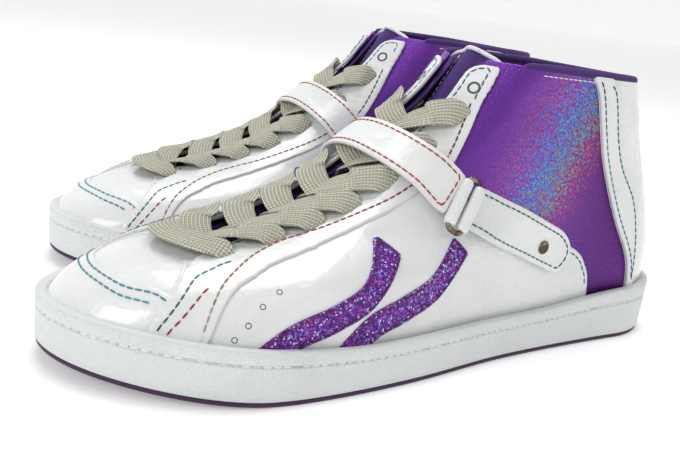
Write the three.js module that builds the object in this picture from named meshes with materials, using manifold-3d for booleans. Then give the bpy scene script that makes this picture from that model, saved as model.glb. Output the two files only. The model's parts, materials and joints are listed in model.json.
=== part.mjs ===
// A pair of high-top cheer shoes: cup sole, lasted upper, laces and a ring-and-strap closure.
// Millimetres, +Z up, toes toward -X. The left shoe is modelled; the right one is its mirror image.

import * as THREE from 'three';
import Module from 'manifold-3d';
import { LoftGeometry } from 'three/addons/geometries/LoftGeometry.js';
import { mergeVertices } from 'three/addons/utils/BufferGeometryUtils.js';

const wasm = await Module();
wasm.setup();

// ---------------------------------------------------------------- driving sizes
const LAST_LENGTH = 264;      // upper at the feather line, toe to heel
const BALL_WIDTH = 92;        // upper at the feather line, across the ball
const COLLAR_HEIGHT = 101.5;  // feather line to the front of the collar
const PAIR_SPACING = 107;     // between the two shoes, side by side
const PAIR_STAGGER = 40;      // how far the right shoe stands back
const PAIR_TURN = -5;         // degrees the right shoe is turned

const GAP = 0.3;              // between pieces that touch
const LEATHER = 1.2;          // thickness of one cut panel
const LINING = 1.1;
const OUTSOLE = 3;
const CUP_FLOOR = 4.7;
const CUP_WALL = 3.7;         // where the wall meets the outsole
const CUP_FLARE = 1;          // how far the wall leans out at its top edge
const TOE_SPRING = 5;
const BOARD = 1.5;
const SOCKLINER = 3;

const SLOT_HALF = 12;         // half of the throat opening between the eyestays
const SLOT_FLARE = -4.5;      // how much wider each side of it is at the collar
const EYELET_INSET = 8.5;     // eyestay edge to the eyelets' centres
const EYELET_RADIUS = 2;
const VENT_RADIUS = 1.2;
const LACE_WIDTH = 7.6;
const LACE_THICK = 1;
const TONGUE_WIDTH = 50;
const TONGUE_TOP = 36;        // its width where it stands above the collar
const TONGUE_PAD = 3.6;

const STRAP_WIDTH = 18;
const STRAP_THICK = 1.3;
const STRAP_LIFT = 3.85;      // underside of the strap above the upper, at the ring
const STRAP_ROOM = 1.5;       // between the laces and the underside of the strap
const RING_WIRE = 1;          // radius of the wire
const RING_PITCH = 5.6;       // between the ring's two long bars
const RING_PLAY = 0.35;       // round each bar, inside its sleeve
const SLEEVE_WALL = 1.1;
const HOOK_THICK = 0.8;
const RIVET_HEAD = 2.7;
const RIVET_SHANK = 1.2;
const BAND_WIDTH = 9;
const BAND_THICK = 0.7;
const BINDING_SEAT = 0.04;    // in levels, above the collar
const BINDING_RISE = 0.28;

const LINING_LIFT = -LEATHER - GAP;                // outer face of the lining
const INSIDE_LIFT = LINING_LIFT - LINING;          // its inner face
const OVERLAY_LIFT = GAP + LEATHER;                // outer face of an overlay
const LACE_SAG = 1.1;         // room for the flat stretches of lace over the round of the instep
const LACE_OVER = OVERLAY_LIFT + GAP + LACE_SAG + LACE_THICK / 2;
const STRAP_OVER = LACE_OVER + LACE_THICK / 2 + STRAP_ROOM;   // its underside, over the laces
const LACE_UNDER = INSIDE_LIFT - GAP - LACE_SAG - LACE_THICK / 2;
const FEATHER = OUTSOLE + GAP + CUP_FLOOR + GAP;   // bottom edge of the upper
const COLUMNS = 28;           // facets round the shoe
const ROWS = 6;               // facets up its side
const COLLAR = 10;            // level of the collar's top edge

// ---------------------------------------------------------------- the last
// The upper is a fan of slices. Level 0 is the feather line and level 10 the collar. Each slice
// runs from the ridge over the toe and instep to the back of the heel. x, height above the feather.
const RIDGE = [[-132, 0], [-133, 10.5], [-127.5, 19.5], [-112, 27], [-90, 32.5], [-66, 38.5],
  [-42, 48.5], [-18, 65.5], [3, 83.5], [11.5, 93], [18.5, 101.5], [25.5, 112], [32.5, 123]];
const HEEL = [[132, 0], [134, 13], [134.5, 24.5], [133, 35.5], [130.5, 46.5], [127, 56.5],
  [122.5, 66.5], [118, 75.5], [114, 84], [110.5, 91.5], [107, 98.5], [104, 105], [101, 112]];
// Half widths from ridge to heel, at levels 0, 2.5, 5, 7.5 and 10.
const LATERAL = [[40, 46, 43, 35, 31.5, 31], [36, 44, 39, 32, 30, 32], [27, 30, 32, 31, 29, 29],
  [22, 26, 29, 30, 28, 26], [24, 27, 29, 30, 28, 24]];
const MEDIAL = [[38, 44, 37, 30, 31, 31], [34, 41, 35, 29, 30, 32], [27, 29, 31, 30, 29, 29],
  [22, 26, 29, 30, 28, 26], [24, 27, 29, 30, 28, 24]];
const FRONT_ROUND = [0.2, 0.22, 0.16, 0.2, 0.22];   // share of a slice that its front end rounds
const BACK_ROUND = [0.13, 0.15, 0.2, 0.25, 0.3];
const TOE_SWING = 6;          // the ridge leans to the big toe's side
const WALL_TOP = [[-140, 23], [-118, 20], [-90, 16.8], [-40, 17], [25, 17.5], [80, 21.5], [140, 23]];

const GRADE_X = LAST_LENGTH / 264;
const GRADE_Y = BALL_WIDTH / 92;
const GRADE_Z = COLLAR_HEIGHT / 101.5;
const { clamp, lerp, degToRad } = THREE.MathUtils;

const vector2 = ([x, y]) => new THREE.Vector2(x, y);
const spline = (points) => new THREE.SplineCurve(points.map(vector2));
const smooth = (points, steps) => spline(points).getPoints(steps * (points.length - 1))
  .map((p) => [p.x, p.y]);
const ridgeLine = spline(RIDGE);
const heelLine = spline(HEEL);
const lastLevel = RIDGE.length - 1;
const widthRows = {
  lateral: LATERAL.map((row) => spline(row.map((w, i) => [i / 5, w]))),
  medial: MEDIAL.map((row) => spline(row.map((w, i) => [i / 5, w]))),
};

function through(values, level) {
  const place = clamp(level / COLLAR, 0, 1);
  return spline(values.map((v, i) => [i, v])).getPoint(place).y;
}

function springAt(x, height) {
  const forward = clamp((-70 * GRADE_X - x) / (62 * GRADE_X), 0, 2);
  return TOE_SPRING * forward ** 1.6 * clamp(1 - height / 16, 0, 1);
}

// turn goes round the shoe: 0 at the ridge, the lateral side, 0.5 at the heel, the medial side.
function lastPoint(level, turn) {
  const angle = 2 * Math.PI * turn;
  const along = (1 - Math.cos(angle)) / 2;
  const lateral = Math.sin(angle) >= 0;
  const front = ridgeLine.getPoint(level / lastLevel);
  const back = heelLine.getPoint(level / lastLevel);
  const rows = lateral ? widthRows.lateral : widthRows.medial;
  const round = (share) => Math.sqrt(1 - (1 - clamp(share, 0, 1)) ** 2);
  const width = through(rows.map((row) => row.getPoint(along).y), level)
    * round(along / through(FRONT_ROUND, level)) * round((1 - along) / through(BACK_ROUND, level));
  const swing = TOE_SWING * clamp(1 - along / 0.4, 0, 1) ** 2 * clamp(1 - level / COLLAR, 0, 1);
  const x = lerp(front.x, back.x, along) * GRADE_X;
  const height = lerp(front.y, back.y, along) * GRADE_Z;
  const y = (swing + (lateral ? -width : width)) * GRADE_Y;
  return new THREE.Vector3(x, y, FEATHER + height + springAt(x, height));
}

function lastNormal(level, turn) {
  const low = Math.max(level - 0.05, 0);
  const up = lastPoint(low + 0.1, turn).sub(lastPoint(low, turn));
  const round = lastPoint(level, turn + 0.002).sub(lastPoint(level, turn - 0.002));
  return round.cross(up).normalize();
}

function skin(level, turn, lift = 0) {
  return lastPoint(level, turn).addScaledVector(lastNormal(level, turn), lift);
}

// The same on the facets: the corners of the facet, blended.
function facetPoint(level, turn, lift = 0) {
  const row = clamp(level / COLLAR, 0, 0.9999) * ROWS;
  const column = turn * COLUMNS;
  const corner = (i, j) => skin((Math.floor(row) + i) / ROWS * COLLAR,
    (Math.floor(column) + j) / COLUMNS, lift);
  const rise = row - Math.floor(row);
  const round = column - Math.floor(column);
  return corner(0, 0).lerp(corner(0, 1), round).lerp(corner(1, 0).lerp(corner(1, 1), round), rise);
}

// The level and turn of a point of the side pattern: x and height above the feather.
function locate(x, height, side) {
  let low = 0;
  let high = lastLevel;
  const point = vector2([x, height]);
  for (let i = 0; i < 40; i += 1) {
    const middle = (low + high) / 2;
    const front = ridgeLine.getPoint(middle / lastLevel);
    const chord = heelLine.getPoint(middle / lastLevel).sub(front);
    if (chord.cross(point.clone().sub(front)) > 0) low = middle;
    else high = middle;
  }
  const front = ridgeLine.getPoint(low / lastLevel);
  const chord = heelLine.getPoint(low / lastLevel).sub(front);
  const along = clamp(point.sub(front).dot(chord) / chord.lengthSq(), 0, 1);
  const turn = Math.acos(1 - 2 * along) / (2 * Math.PI);
  return { level: low, turn: side === 'medial' ? 1 - turn : turn };
}

function onPattern(x, height, side, lift) {
  const { level, turn } = locate(x, height, side);
  return facetPoint(level, turn, lift);
}

// The turn at which the front of a level crosses a given y.
function turnAcross(level, y) {
  let low = -0.25;
  let high = 0.25;
  for (let i = 0; i < 30; i += 1) {
    const middle = (low + high) / 2;
    if (lastPoint(level, middle).y > y) low = middle;
    else high = middle;
  }
  return low;
}

// ---------------------------------------------------------------- solids
function solid(geometry) {
  geometry.deleteAttribute('normal');
  geometry.deleteAttribute('uv');
  const merged = mergeVertices(geometry, 1e-4);
  const index = merged.index.array;
  const corners = [];
  for (let i = 0; i < index.length; i += 3) {
    const [a, b, c] = [index[i], index[i + 1], index[i + 2]];
    if (a !== b && b !== c && c !== a) corners.push(a, b, c);
  }
  const p = merged.attributes.position.array;
  let volume = 0;
  for (let i = 0; i < corners.length; i += 3) {
    const [a, b, c] = [0, 1, 2].map((k) => new THREE.Vector3().fromArray(p, corners[i + k] * 3));
    volume += a.dot(b.cross(c));
  }
  if (volume < 0) corners.reverse();
  return new wasm.Manifold(new wasm.Mesh({
    numProp: 3, vertProperties: new Float32Array(p), triVerts: new Uint32Array(corners),
  }));
}

function geometryOf(body) {
  const mesh = body.getMesh();
  const geometry = new THREE.BufferGeometry();
  geometry.setAttribute('position', new THREE.BufferAttribute(mesh.vertProperties, 3));
  geometry.setIndex(new THREE.BufferAttribute(mesh.triVerts, 1));
  return geometry;
}

// A loft with both ends capped, whichever way its sections wind.
function cappedLoft(sections) {
  const centre = (ring) => ring.reduce((sum, p) => sum.add(p), new THREE.Vector3())
    .divideScalar(ring.length);
  const run = centre(sections[1]).sub(centre(sections[0]));
  const first = sections[0];
  const area = new THREE.Vector3();
  first.forEach((p, i) => area.add(p.clone().cross(first[(i + 1) % first.length])));
  const rings = area.dot(run) < 0 ? sections.map((ring) => ring.toReversed()) : sections;
  return solid(new LoftGeometry(rings, { capStart: true, capEnd: true }));
}

// The last as a solid block, its skin moved out by a lift, a number or a function of the place.
// Every form has the same facets, so two lifts a gap apart stay a gap apart.
function form(lift, sink = 0, rise = 0) {
  const ring = (level, dz = 0) => Array.from({ length: COLUMNS }, (unused, i) => {
    const turn = i / COLUMNS;
    const out = typeof lift === 'function' ? lift(level, turn) : lift;
    const point = skin(level, turn, out);
    return point.setZ(point.z + dz);
  });
  const rings = Array.from({ length: ROWS + 1 }, (unused, k) => ring(COLLAR * k / ROWS));
  if (sink) rings.unshift(ring(0, -sink));
  if (rise) rings.push(ring(COLLAR + rise));
  return cappedLoft(rings);
}

// A skin between two lifts, open at the feather line and at the collar.
function shell(outer, inner) {
  return form(outer, 4).subtract(form(inner, 6, 0.4)).subtract(ground(FEATHER));
}

const SIDE_RANGE = { lateral: [-90, -0.2], medial: [0.2, 90], both: [-90, 90] };

// A cutter seen from the side: a pattern outline through one side of the shoe, or both.
function sidePrism(outline, side = 'both') {
  const [y0, y1] = SIDE_RANGE[side] ?? side;
  const points = outline.map(([x, z]) => vector2([x * GRADE_X, FEATHER + z * GRADE_Z]));
  const options = { depth: y1 - y0, bevelEnabled: false };
  const geometry = new THREE.ExtrudeGeometry(new THREE.Shape(points), options);
  return solid(geometry.rotateX(Math.PI / 2).translate(0, y1, 0));
}

function topPrism(outline) {
  const points = outline.map(([x, y]) => vector2([x * GRADE_X, y * GRADE_Y]));
  const options = { depth: 200, bevelEnabled: false };
  return solid(new THREE.ExtrudeGeometry(new THREE.Shape(points), options));
}

const moved = (outline, dx, dz) => outline.map(([x, z]) => [x + dx, z + dz]);

// The throat: a slot seen square to the instep, from the vamp to past the collar.
const slotHalf = (level) => SLOT_HALF + SLOT_FLARE * level / COLLAR;

function throat(extra = 0, half = SLOT_HALF) {
  const start = vector2([-93 * GRADE_X, FEATHER + 32 * GRADE_Z]);
  const end = vector2([18.5 * GRADE_X, FEATHER + 101.5 * GRADE_Z]);
  const length = end.distanceTo(start);
  const shape = new THREE.Shape();
  shape.moveTo(length + 60, half + SLOT_FLARE);
  shape.lineTo(length, half + SLOT_FLARE);
  shape.lineTo(half - extra, half);
  shape.absarc(half - extra, 0, half, Math.PI / 2, 1.5 * Math.PI);
  shape.lineTo(length, -half - SLOT_FLARE);
  shape.lineTo(length + 60, -half - SLOT_FLARE);
  const options = { depth: 62, bevelEnabled: false, curveSegments: 4 };
  const geometry = new THREE.ExtrudeGeometry(shape, options).translate(0, 0, -30);
  const along = new THREE.Vector3(end.x - start.x, 0, end.y - start.y).normalize();
  const across = new THREE.Vector3(0, 1, 0);
  const frame = new THREE.Matrix4().makeBasis(along, across, along.clone().cross(across));
  frame.setPosition(start.x, 0, start.y);
  return solid(geometry.applyMatrix4(frame));
}

// A round cutter or pin standing on the upper.
function peg(level, turn, radius, sides = 8, low = -8, high = 8) {
  const geometry = new THREE.CylinderGeometry(radius, radius, high - low, sides);
  geometry.translate(0, (low + high) / 2, 0);
  const lean = new THREE.Quaternion()
    .setFromUnitVectors(new THREE.Vector3(0, 1, 0), lastNormal(level, turn));
  geometry.applyQuaternion(lean);
  const foot = facetPoint(level, turn);
  return solid(geometry.translate(foot.x, foot.y, foot.z));
}

// ---------------------------------------------------------------- sole
// The feather outline grown outward, at a height above the floor plus the toe spring.
function footprint(grow, z, share = 1) {
  const ring = [];
  for (let i = 0; i < COLUMNS; i += 1) {
    const turn = i / COLUMNS;
    const out = lastNormal(0, turn).setZ(0).normalize();
    const point = lastPoint(0, turn).addScaledVector(out, grow).multiplyScalar(share);
    ring.push(point.setZ(z + springAt(point.x, 0)));
  }
  return ring;
}

// Everything below a height above the floor, with the toe spring. The layers of the sole are cut
// from columns by two of these, so their faces stay parallel.
function ground(z) {
  const ring = (grow, share) => footprint(grow, z, share);
  const deep = footprint(12, 0).map((point) => point.setZ(-20));
  return solid(new LoftGeometry([deep.map(() => new THREE.Vector3(0, 0, -20)), deep,
    ring(12, 1), ring(12, 0.55), ring(12, 0)]));
}

const layer = (column, low, high) => column.intersect(ground(high)).subtract(ground(low));

// The cup's column, up to the top edge of its wall; a wider one trims what stands above it.
const wallTop = spline(WALL_TOP);
function cupColumn(growLow, growHigh, above) {
  const foot = footprint(growLow, 0).map((point) => point.setZ(-10));
  const lip = footprint(growHigh, 0).map((point) => {
    const height = wallTop.getPoint(clamp((point.x / GRADE_X + 140) / 280, 0, 1)).y;
    return point.setZ(height + above);
  });
  const ends = [-10, lip[COLUMNS / 2].z].map((z) => lip.map(() => new THREE.Vector3(0, 0, z)));
  return solid(new LoftGeometry([ends[0], foot, lip, ends[1]]));
}

function midsoleCup() {
  const inside = form(GAP, 6).subtract(ground(OUTSOLE + GAP + CUP_FLOOR));
  return cupColumn(CUP_WALL + GAP, CUP_WALL + CUP_FLARE, 0).subtract(ground(OUTSOLE + GAP))
    .subtract(inside);
}

const insideLayer = (low, thick) => layer(form(INSIDE_LIFT - GAP, 4), low, low + thick);

// ---------------------------------------------------------------- pattern lines, x and height
const FRONT_EDGE = smooth([[-111, -6], [-110, 8], [-107, 17], [-100, 24], [-91, 29], [-82, 33]], 2);
const QUARTER_TOP = smooth([[-12, 66], [0, 54], [30, 45], [60, 34], [70, 29.5], [75, 24],
  [78, 16], [78.5, -6]], 2);
const HEEL_EDGE = smooth([[57, 112], [58, 102], [64, 94], [70, 78], [76, 65], [89, 43],
  [100, 26], [103, 12], [103.5, -6]], 2);
const STRIP_REAR = smooth([[69, 112], [70, 101], [75.5, 94], [82, 78], [89, 65], [100, 52],
  [105, 38], [107, 20], [107.5, -6]], 2);
const TOE_ARC = smooth([[-104, 42], [-104, 36], [-108, 27], [-115.5, 16], [-118.5, 3],
  [-115.5, -11], [-108, -21], [-104, -31], [-104, -40]], 2);
const EYESTAY_FRONT = [[-117, -6], [-115, 10], [-111, 18], [-101, 27.5], [-93, 31], [-86, 33]];
const EYESTAY_BACK = [[24.6, 101.7], [13.7, 83.7], [0, 64.5], [-10, 57], [-23, 49], [-38, 42.5],
  [-54, 37], [-74, 32], [-90.5, 27], [-98.6, 22], [-103, 15], [-105, 6], [-106, -6]];
const EYELET_LEVELS = [3.8, 4.55, 5.2, 5.8, 6.4, 7.1, 7.8, 8.7];
const LACED_ROWS = 7;
const VENTS = [[-92, 13], [-88, 17.5], [-83, 22], [-77, 26.5]];

// ---------------------------------------------------------------- upper
const slot = throat();
const sides = ['lateral', 'medial'];

function eyelet(row, side) {
  const level = EYELET_LEVELS[row];
  const across = slotHalf(level) + EYELET_INSET;
  return { level, turn: turnAcross(level, side === 'lateral' ? -across : across) };
}

const eyelets = EYELET_LEVELS.flatMap((unused, row) => sides.map((side) => eyelet(row, side)));
const punches = eyelets.map(({ level, turn }) => peg(level, turn, EYELET_RADIUS, 6));
const liningPunches = eyelets.map(({ level, turn }) => peg(level, turn, EYELET_RADIUS + GAP, 4));
const ventPunches = VENTS.map(([x, z]) => locate(x, z, 'lateral'))
  .map(({ level, turn }) => peg(level, turn, VENT_RADIUS, 5, -6, 3));
const punched = (body, cutters) => cutters.reduce((rest, cutter) => rest.subtract(cutter), body);

function upperPanels() {
  const whole = shell(0, -LEATHER).subtract(slot);
  const frontOutline = [...FRONT_EDGE, [-76, 60], [-150, 60], [-150, -6]];
  const front = whole.intersect(sidePrism(frontOutline));
  const toeOutline = [...TOE_ARC, [-104, -90], [-160, -90], [-160, 90], [-104, 90]];
  const behind = whole.subtract(sidePrism(moved(frontOutline, GAP * 1.4, -GAP)))
    .subtract(throat(0, SLOT_HALF + EYELET_INSET + EYELET_RADIUS + 1));
  const quarterOutline = [...QUARTER_TOP, [-150, -6], [-150, 100], [-14, 100]];
  const quarter = behind.intersect(sidePrism(quarterOutline));
  const above = behind.subtract(sidePrism(moved(quarterOutline, GAP, GAP * 1.2)));
  const heelOutline = [...HEEL_EDGE, [160, -6], [160, 112]];
  const collar = above.subtract(sidePrism(moved(heelOutline, -GAP * 1.4, 0)));
  const panels = {
    toe_cap: front.intersect(topPrism(toeOutline)),
    vamp: punched(front.subtract(topPrism(moved(toeOutline, GAP, 0))), punches.slice(0, 2)),
    heel_counter: above.intersect(sidePrism(heelOutline)),
  };
  for (const side of sides) {
    const half = sidePrism([[-160, -10], [160, -10], [160, 150], [-160, 150]], side);
    const cut = punched(quarter.intersect(half), punches.slice(0, 4));
    panels[`quarter_${side}`] = side === 'lateral' ? punched(cut, ventPunches) : cut;
    panels[`collar_panel_${side}`] = collar.intersect(half);
  }
  return panels;
}

const wallTrim = cupColumn(14, 14, GAP);
const overlayShell = (outer, inner) => shell(outer, inner).subtract(wallTrim);

function overlays() {
  const layer = overlayShell(OVERLAY_LIFT, GAP).subtract(throat(40));
  const stayOutline = [...EYESTAY_FRONT, [-90, 50], [-60, 70], [-20, 100], [5, 130], [34, 130],
    [31, 112], ...EYESTAY_BACK];
  const stripOutline = [...moved(HEEL_EDGE, -1.2, 0), ...STRIP_REAR.slice().reverse()];
  const pieces = {};
  for (const side of sides) {
    pieces[`eyestay_${side}`] = punched(layer.intersect(sidePrism(stayOutline, side)), punches);
    pieces[`heel_strip_${side}`] = layer.intersect(sidePrism(stripOutline, side));
  }
  return pieces;
}

// ---------------------------------------------------------------- decoration
function stripe(centre, width) {
  const curve = spline(centre);
  const near = [];
  const far = [];
  for (let i = 0; i <= 10; i += 1) {
    const point = curve.getPoint(i / 10);
    const tangent = curve.getTangent(i / 10);
    near.push([point.x - tangent.y * width / 2, point.y + tangent.x * width / 2]);
    far.unshift([point.x + tangent.y * width / 2, point.y - tangent.x * width / 2]);
  }
  return [...near, ...far];
}

const BANDS = {
  front: [[-86, 4], [-74, 13], [-58, 18], [-44, 24], [-32, 38]],
  rear: [[-54, 4], [-42, 13], [-26, 18], [-12, 24], [0, 37]],
};

function glitterBands() {
  const layer = overlayShell(GAP + BAND_THICK, GAP);
  const pieces = {};
  for (const side of sides) {
    for (const [place, centre] of Object.entries(BANDS)) {
      const outline = stripe(centre, BAND_WIDTH);
      pieces[`glitter_band_${place}_${side}`] = layer.intersect(sidePrism(outline, side));
    }
  }
  return pieces;
}

// ---------------------------------------------------------------- strap, ring and flap
const RING_LOW = [-8.5, 42.5];      // where the ring's front bar lies on the lateral side
const RING_HIGH = [3, 58.5];
const RING_LIFT = STRAP_LIFT + STRAP_THICK / 2;
const SLEEVE_RADIUS = RING_WIRE + RING_PLAY + SLEEVE_WALL;
const FLAP_SEAT = 2 * (GAP + HOOK_THICK) + GAP;    // flap's underside above the upper, at its end
const RIVET_PLACE = [42.5, 34.5];

function ringFrame() {
  const low = onPattern(...RING_LOW, 'lateral', RING_LIFT);
  const high = onPattern(...RING_HIGH, 'lateral', RING_LIFT);
  const centre = low.clone().lerp(high, 0.5);
  const bar = high.sub(low).normalize();
  const middle = RING_LOW.map((value, i) => (value + RING_HIGH[i]) / 2);
  const spot = locate(...middle, 'lateral');
  const out = lastNormal(spot.level, spot.turn);
  const back = bar.clone().cross(out).normalize();
  if (back.x < 0) back.negate();
  const up = back.clone().cross(bar).normalize();
  if (up.dot(out) < 0) up.negate();
  return { bar, back, up, front: centre, rear: centre.clone().addScaledVector(back, RING_PITCH) };
}

const ring = ringFrame();

function barRod(centre, radius, length, sides = 8) {
  const geometry = new THREE.CylinderGeometry(radius, radius, length, sides);
  const lean = new THREE.Quaternion().setFromUnitVectors(new THREE.Vector3(0, 1, 0), ring.bar);
  return solid(geometry.applyQuaternion(lean).translate(centre.x, centre.y, centre.z));
}

// The two corners of a strap's end at a bar, as pattern points.
function barCorners(centre) {
  return [-1, 1].map((sign) => {
    const point = centre.clone().addScaledVector(ring.bar, sign * STRAP_WIDTH / 2);
    return [point.x / GRADE_X, (point.z - FEATHER) / GRADE_Z];
  });
}

const sleeved = (band, centre) => band.add(barRod(centre, SLEEVE_RADIUS, STRAP_WIDTH))
  .subtract(barRod(centre, RING_WIRE + RING_PLAY, STRAP_WIDTH + 10));

function strapRing() {
  const long = STRAP_WIDTH / 2 + 0.5 + RING_WIRE;
  const half = RING_PITCH / 2;
  const corner = 1.2;
  const points = [[-long + corner, -half], [long - corner, -half], [long, -half + corner],
    [long, half - corner], [long - corner, half], [-long + corner, half], [-long, half - corner],
    [-long, -half + corner]];
  const centre = ring.front.clone().lerp(ring.rear, 0.5);
  const place = ([along, across]) => centre.clone().addScaledVector(ring.bar, along)
    .addScaledVector(ring.back, across);
  const sections = points.concat([points[0]]).map((point, i) => {
    const here = place(point);
    const before = place(points.at((i - 1) % points.length)).sub(here).normalize();
    const after = place(points[(i + 1) % points.length]).sub(here).normalize();
    const outward = after.clone().sub(before).normalize().cross(ring.up);
    return Array.from({ length: 8 }, (unused, k) => {
      const angle = k * Math.PI / 4;
      return here.clone().addScaledVector(outward, RING_WIRE * Math.cos(angle))
        .addScaledVector(ring.up, RING_WIRE * Math.sin(angle));
    });
  });
  return solid(new LoftGeometry(sections));
}

function instepStrap() {
  const seatLift = (level, turn) => {
    const { x, y } = lastPoint(level, turn);
    const sewn = turn > 0.5 ? THREE.MathUtils.smoothstep(x / GRADE_X, -8, 12) : 0;
    const over = THREE.MathUtils.smoothstep(-Math.abs(y) / GRADE_Y, -28, -22);
    return lerp(lerp(STRAP_LIFT, STRAP_OVER, over), GAP + 0.1, sewn);
  };
  const layer = shell((level, turn) => seatLift(level, turn) + STRAP_THICK, seatLift);
  const over = [[-26, 100], [-50, 100], [-34, 78], [-23.5, 60]];
  const lateral = [...over, ...barCorners(ring.front), [-12, 71]];
  const medial = [...over, [-13, 45], [2, 33], [18, 23.5], [22, 24], [27.5, 37], [26.5, 40.5],
    [10, 51], [-3, 60.5], [-12, 71]];
  const joined = layer.intersect(sidePrism(lateral, [-90, 0.1]))
    .add(layer.intersect(sidePrism(medial, [-0.1, 90])));
  return sleeved(joined, ring.front);
}

const FLAP_TIP = [[30, 49.5], [46, 43.5], [54, 40], [59, 35.5], [60.5, 31], [58.5, 26], [54, 23],
  [49, 24], [30, 31.5]];
const HOOK_OUTLINE = [[21, 38], [24, 47], [40, 41.5], [52, 36], [54, 31], [51, 28], [40, 31.5]];

function flapLift(level, turn) {
  const x = lastPoint(level, turn).x / GRADE_X;
  return lerp(STRAP_LIFT, FLAP_SEAT, THREE.MathUtils.smoothstep(x, 4, 22));
}

function strapFlap() {
  const layer = shell((level, turn) => flapLift(level, turn) + STRAP_THICK, flapLift);
  const [low, high] = barCorners(ring.rear);
  const outline = [high, ...FLAP_TIP, low];
  const band = layer.intersect(sidePrism(outline, 'lateral'));
  const { level, turn } = locate(...RIVET_PLACE, 'lateral');
  return sleeved(band, ring.rear).subtract(peg(level, turn, RIVET_SHANK + GAP));
}

function hookAndLoop() {
  const { level, turn } = locate(...RIVET_PLACE, 'lateral');
  const hole = peg(level, turn, RIVET_HEAD + GAP);
  const hook = GAP + HOOK_THICK + GAP;
  const patch = (low, high) => shell(high, low)
    .intersect(sidePrism(HOOK_OUTLINE, 'lateral'));
  return {
    loop_patch: patch(GAP, GAP + HOOK_THICK),
    hook_patch: patch(hook, hook + HOOK_THICK).subtract(hole),
  };
}

function flapRivet() {
  const { level, turn } = locate(...RIVET_PLACE, 'lateral');
  const under = GAP + HOOK_THICK + GAP;
  const top = FLAP_SEAT + STRAP_THICK + GAP;
  const profile = [[0, under], [RIVET_HEAD - 0.5, under], [RIVET_HEAD - 0.5, under + 0.5],
    [RIVET_SHANK, under + 0.5], [RIVET_SHANK, top], [RIVET_HEAD, top], [RIVET_HEAD - 0.5, top + 0.6],
    [RIVET_SHANK, top + 0.9], [0, top + 0.9]];
  const geometry = new THREE.LatheGeometry(profile.map(vector2), 8);
  const lean = new THREE.Quaternion()
    .setFromUnitVectors(new THREE.Vector3(0, 1, 0), lastNormal(level, turn));
  const foot = facetPoint(level, turn);
  return solid(geometry.applyQuaternion(lean).translate(foot.x, foot.y, foot.z));
}

// ---------------------------------------------------------------- laces and tongue
// A place on the upper by its level and its distance from the ridge's plane.
const onThroat = (level, y, lift) => (level > COLLAR ? skin : facetPoint)(
  level, turnAcross(level, y), lift,
);

// A flat ribbon of lace through stations of level, y, lift and half width. Its width lies along
// the instep all the way, also where it goes down through an eyelet.
function ribbon(stations) {
  const points = stations.map(([level, y, lift]) => onThroat(level, y, lift));
  const last = points.length - 1;
  return cappedLoft(points.map((point, i) => {
    const [level, y, , half] = stations[i];
    const turn = turnAcross(level, y);
    const run = points[Math.min(i + 1, last)].clone().sub(points[Math.max(i - 1, 0)]).normalize();
    const side = lastPoint(level + 0.1, turn).sub(lastPoint(level - 0.1, turn));
    side.addScaledVector(run, -side.dot(run)).setLength(half);
    const up = run.clone().cross(side).setLength(LACE_THICK / 2);
    return [[1, 1], [-1, 1], [-1, -1], [1, -1]].map(([a, b]) => point.clone()
      .addScaledVector(side, a).addScaledVector(up, b));
  }));
}

const NARROW = 0.9;           // half width of a lace inside an eyelet
const wide = LACE_WIDTH / 2;

// From under one eyelet, out through the throat, over the other eyestay and down its eyelet.
function crossing(row, y) {
  const [low, high] = [EYELET_LEVELS[row], EYELET_LEVELS[row + 1]];
  const sign = Math.sign(y);
  const edge = sign * (slotHalf(high) - 1.5);
  const at = (share) => lerp(low, high, share);
  return [[low, y, LACE_UNDER, NARROW], [at(0.1), y - 3 * sign, LACE_UNDER, wide * 0.7],
    [at(0.25), edge, LACE_UNDER, wide], [at(0.75), -edge, LACE_OVER, wide],
    [at(0.84), -edge - 3.5 * sign, LACE_OVER, wide], [at(0.93), 3 * sign - y, LACE_OVER, wide * 0.8],
    [high, -y, LACE_OVER, NARROW]];
}

function lace() {
  const across = (row) => lastPoint(eyelet(row, 'medial').level, eyelet(row, 'medial').turn).y;
  const first = EYELET_LEVELS[0];
  const start = across(0);
  const bar = [[first, -start, LACE_UNDER, NARROW], [first, -start, LACE_OVER, NARROW],
    [first, 3 - start, LACE_OVER, wide], [first, -6, LACE_OVER, wide], [first, 6, LACE_OVER, wide],
    [first, start - 3, LACE_OVER, wide], [first, start, LACE_OVER, NARROW]];
  const half = (sign, beginning) => {
    const stations = [...beginning];
    for (let row = 0; row < LACED_ROWS - 1; row += 1) {
      stations.push(...crossing(row, (row % 2 ? -sign : sign) * across(row)));
    }
    const [level, y] = stations.at(-1);
    return ribbon([...stations, [level, y, LACE_UNDER, NARROW],
      [level + 0.1, y - 5 * Math.sign(y), LACE_UNDER, wide * 0.6]]);
  };
  return half(-1, []).add(half(1, bar));
}

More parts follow.
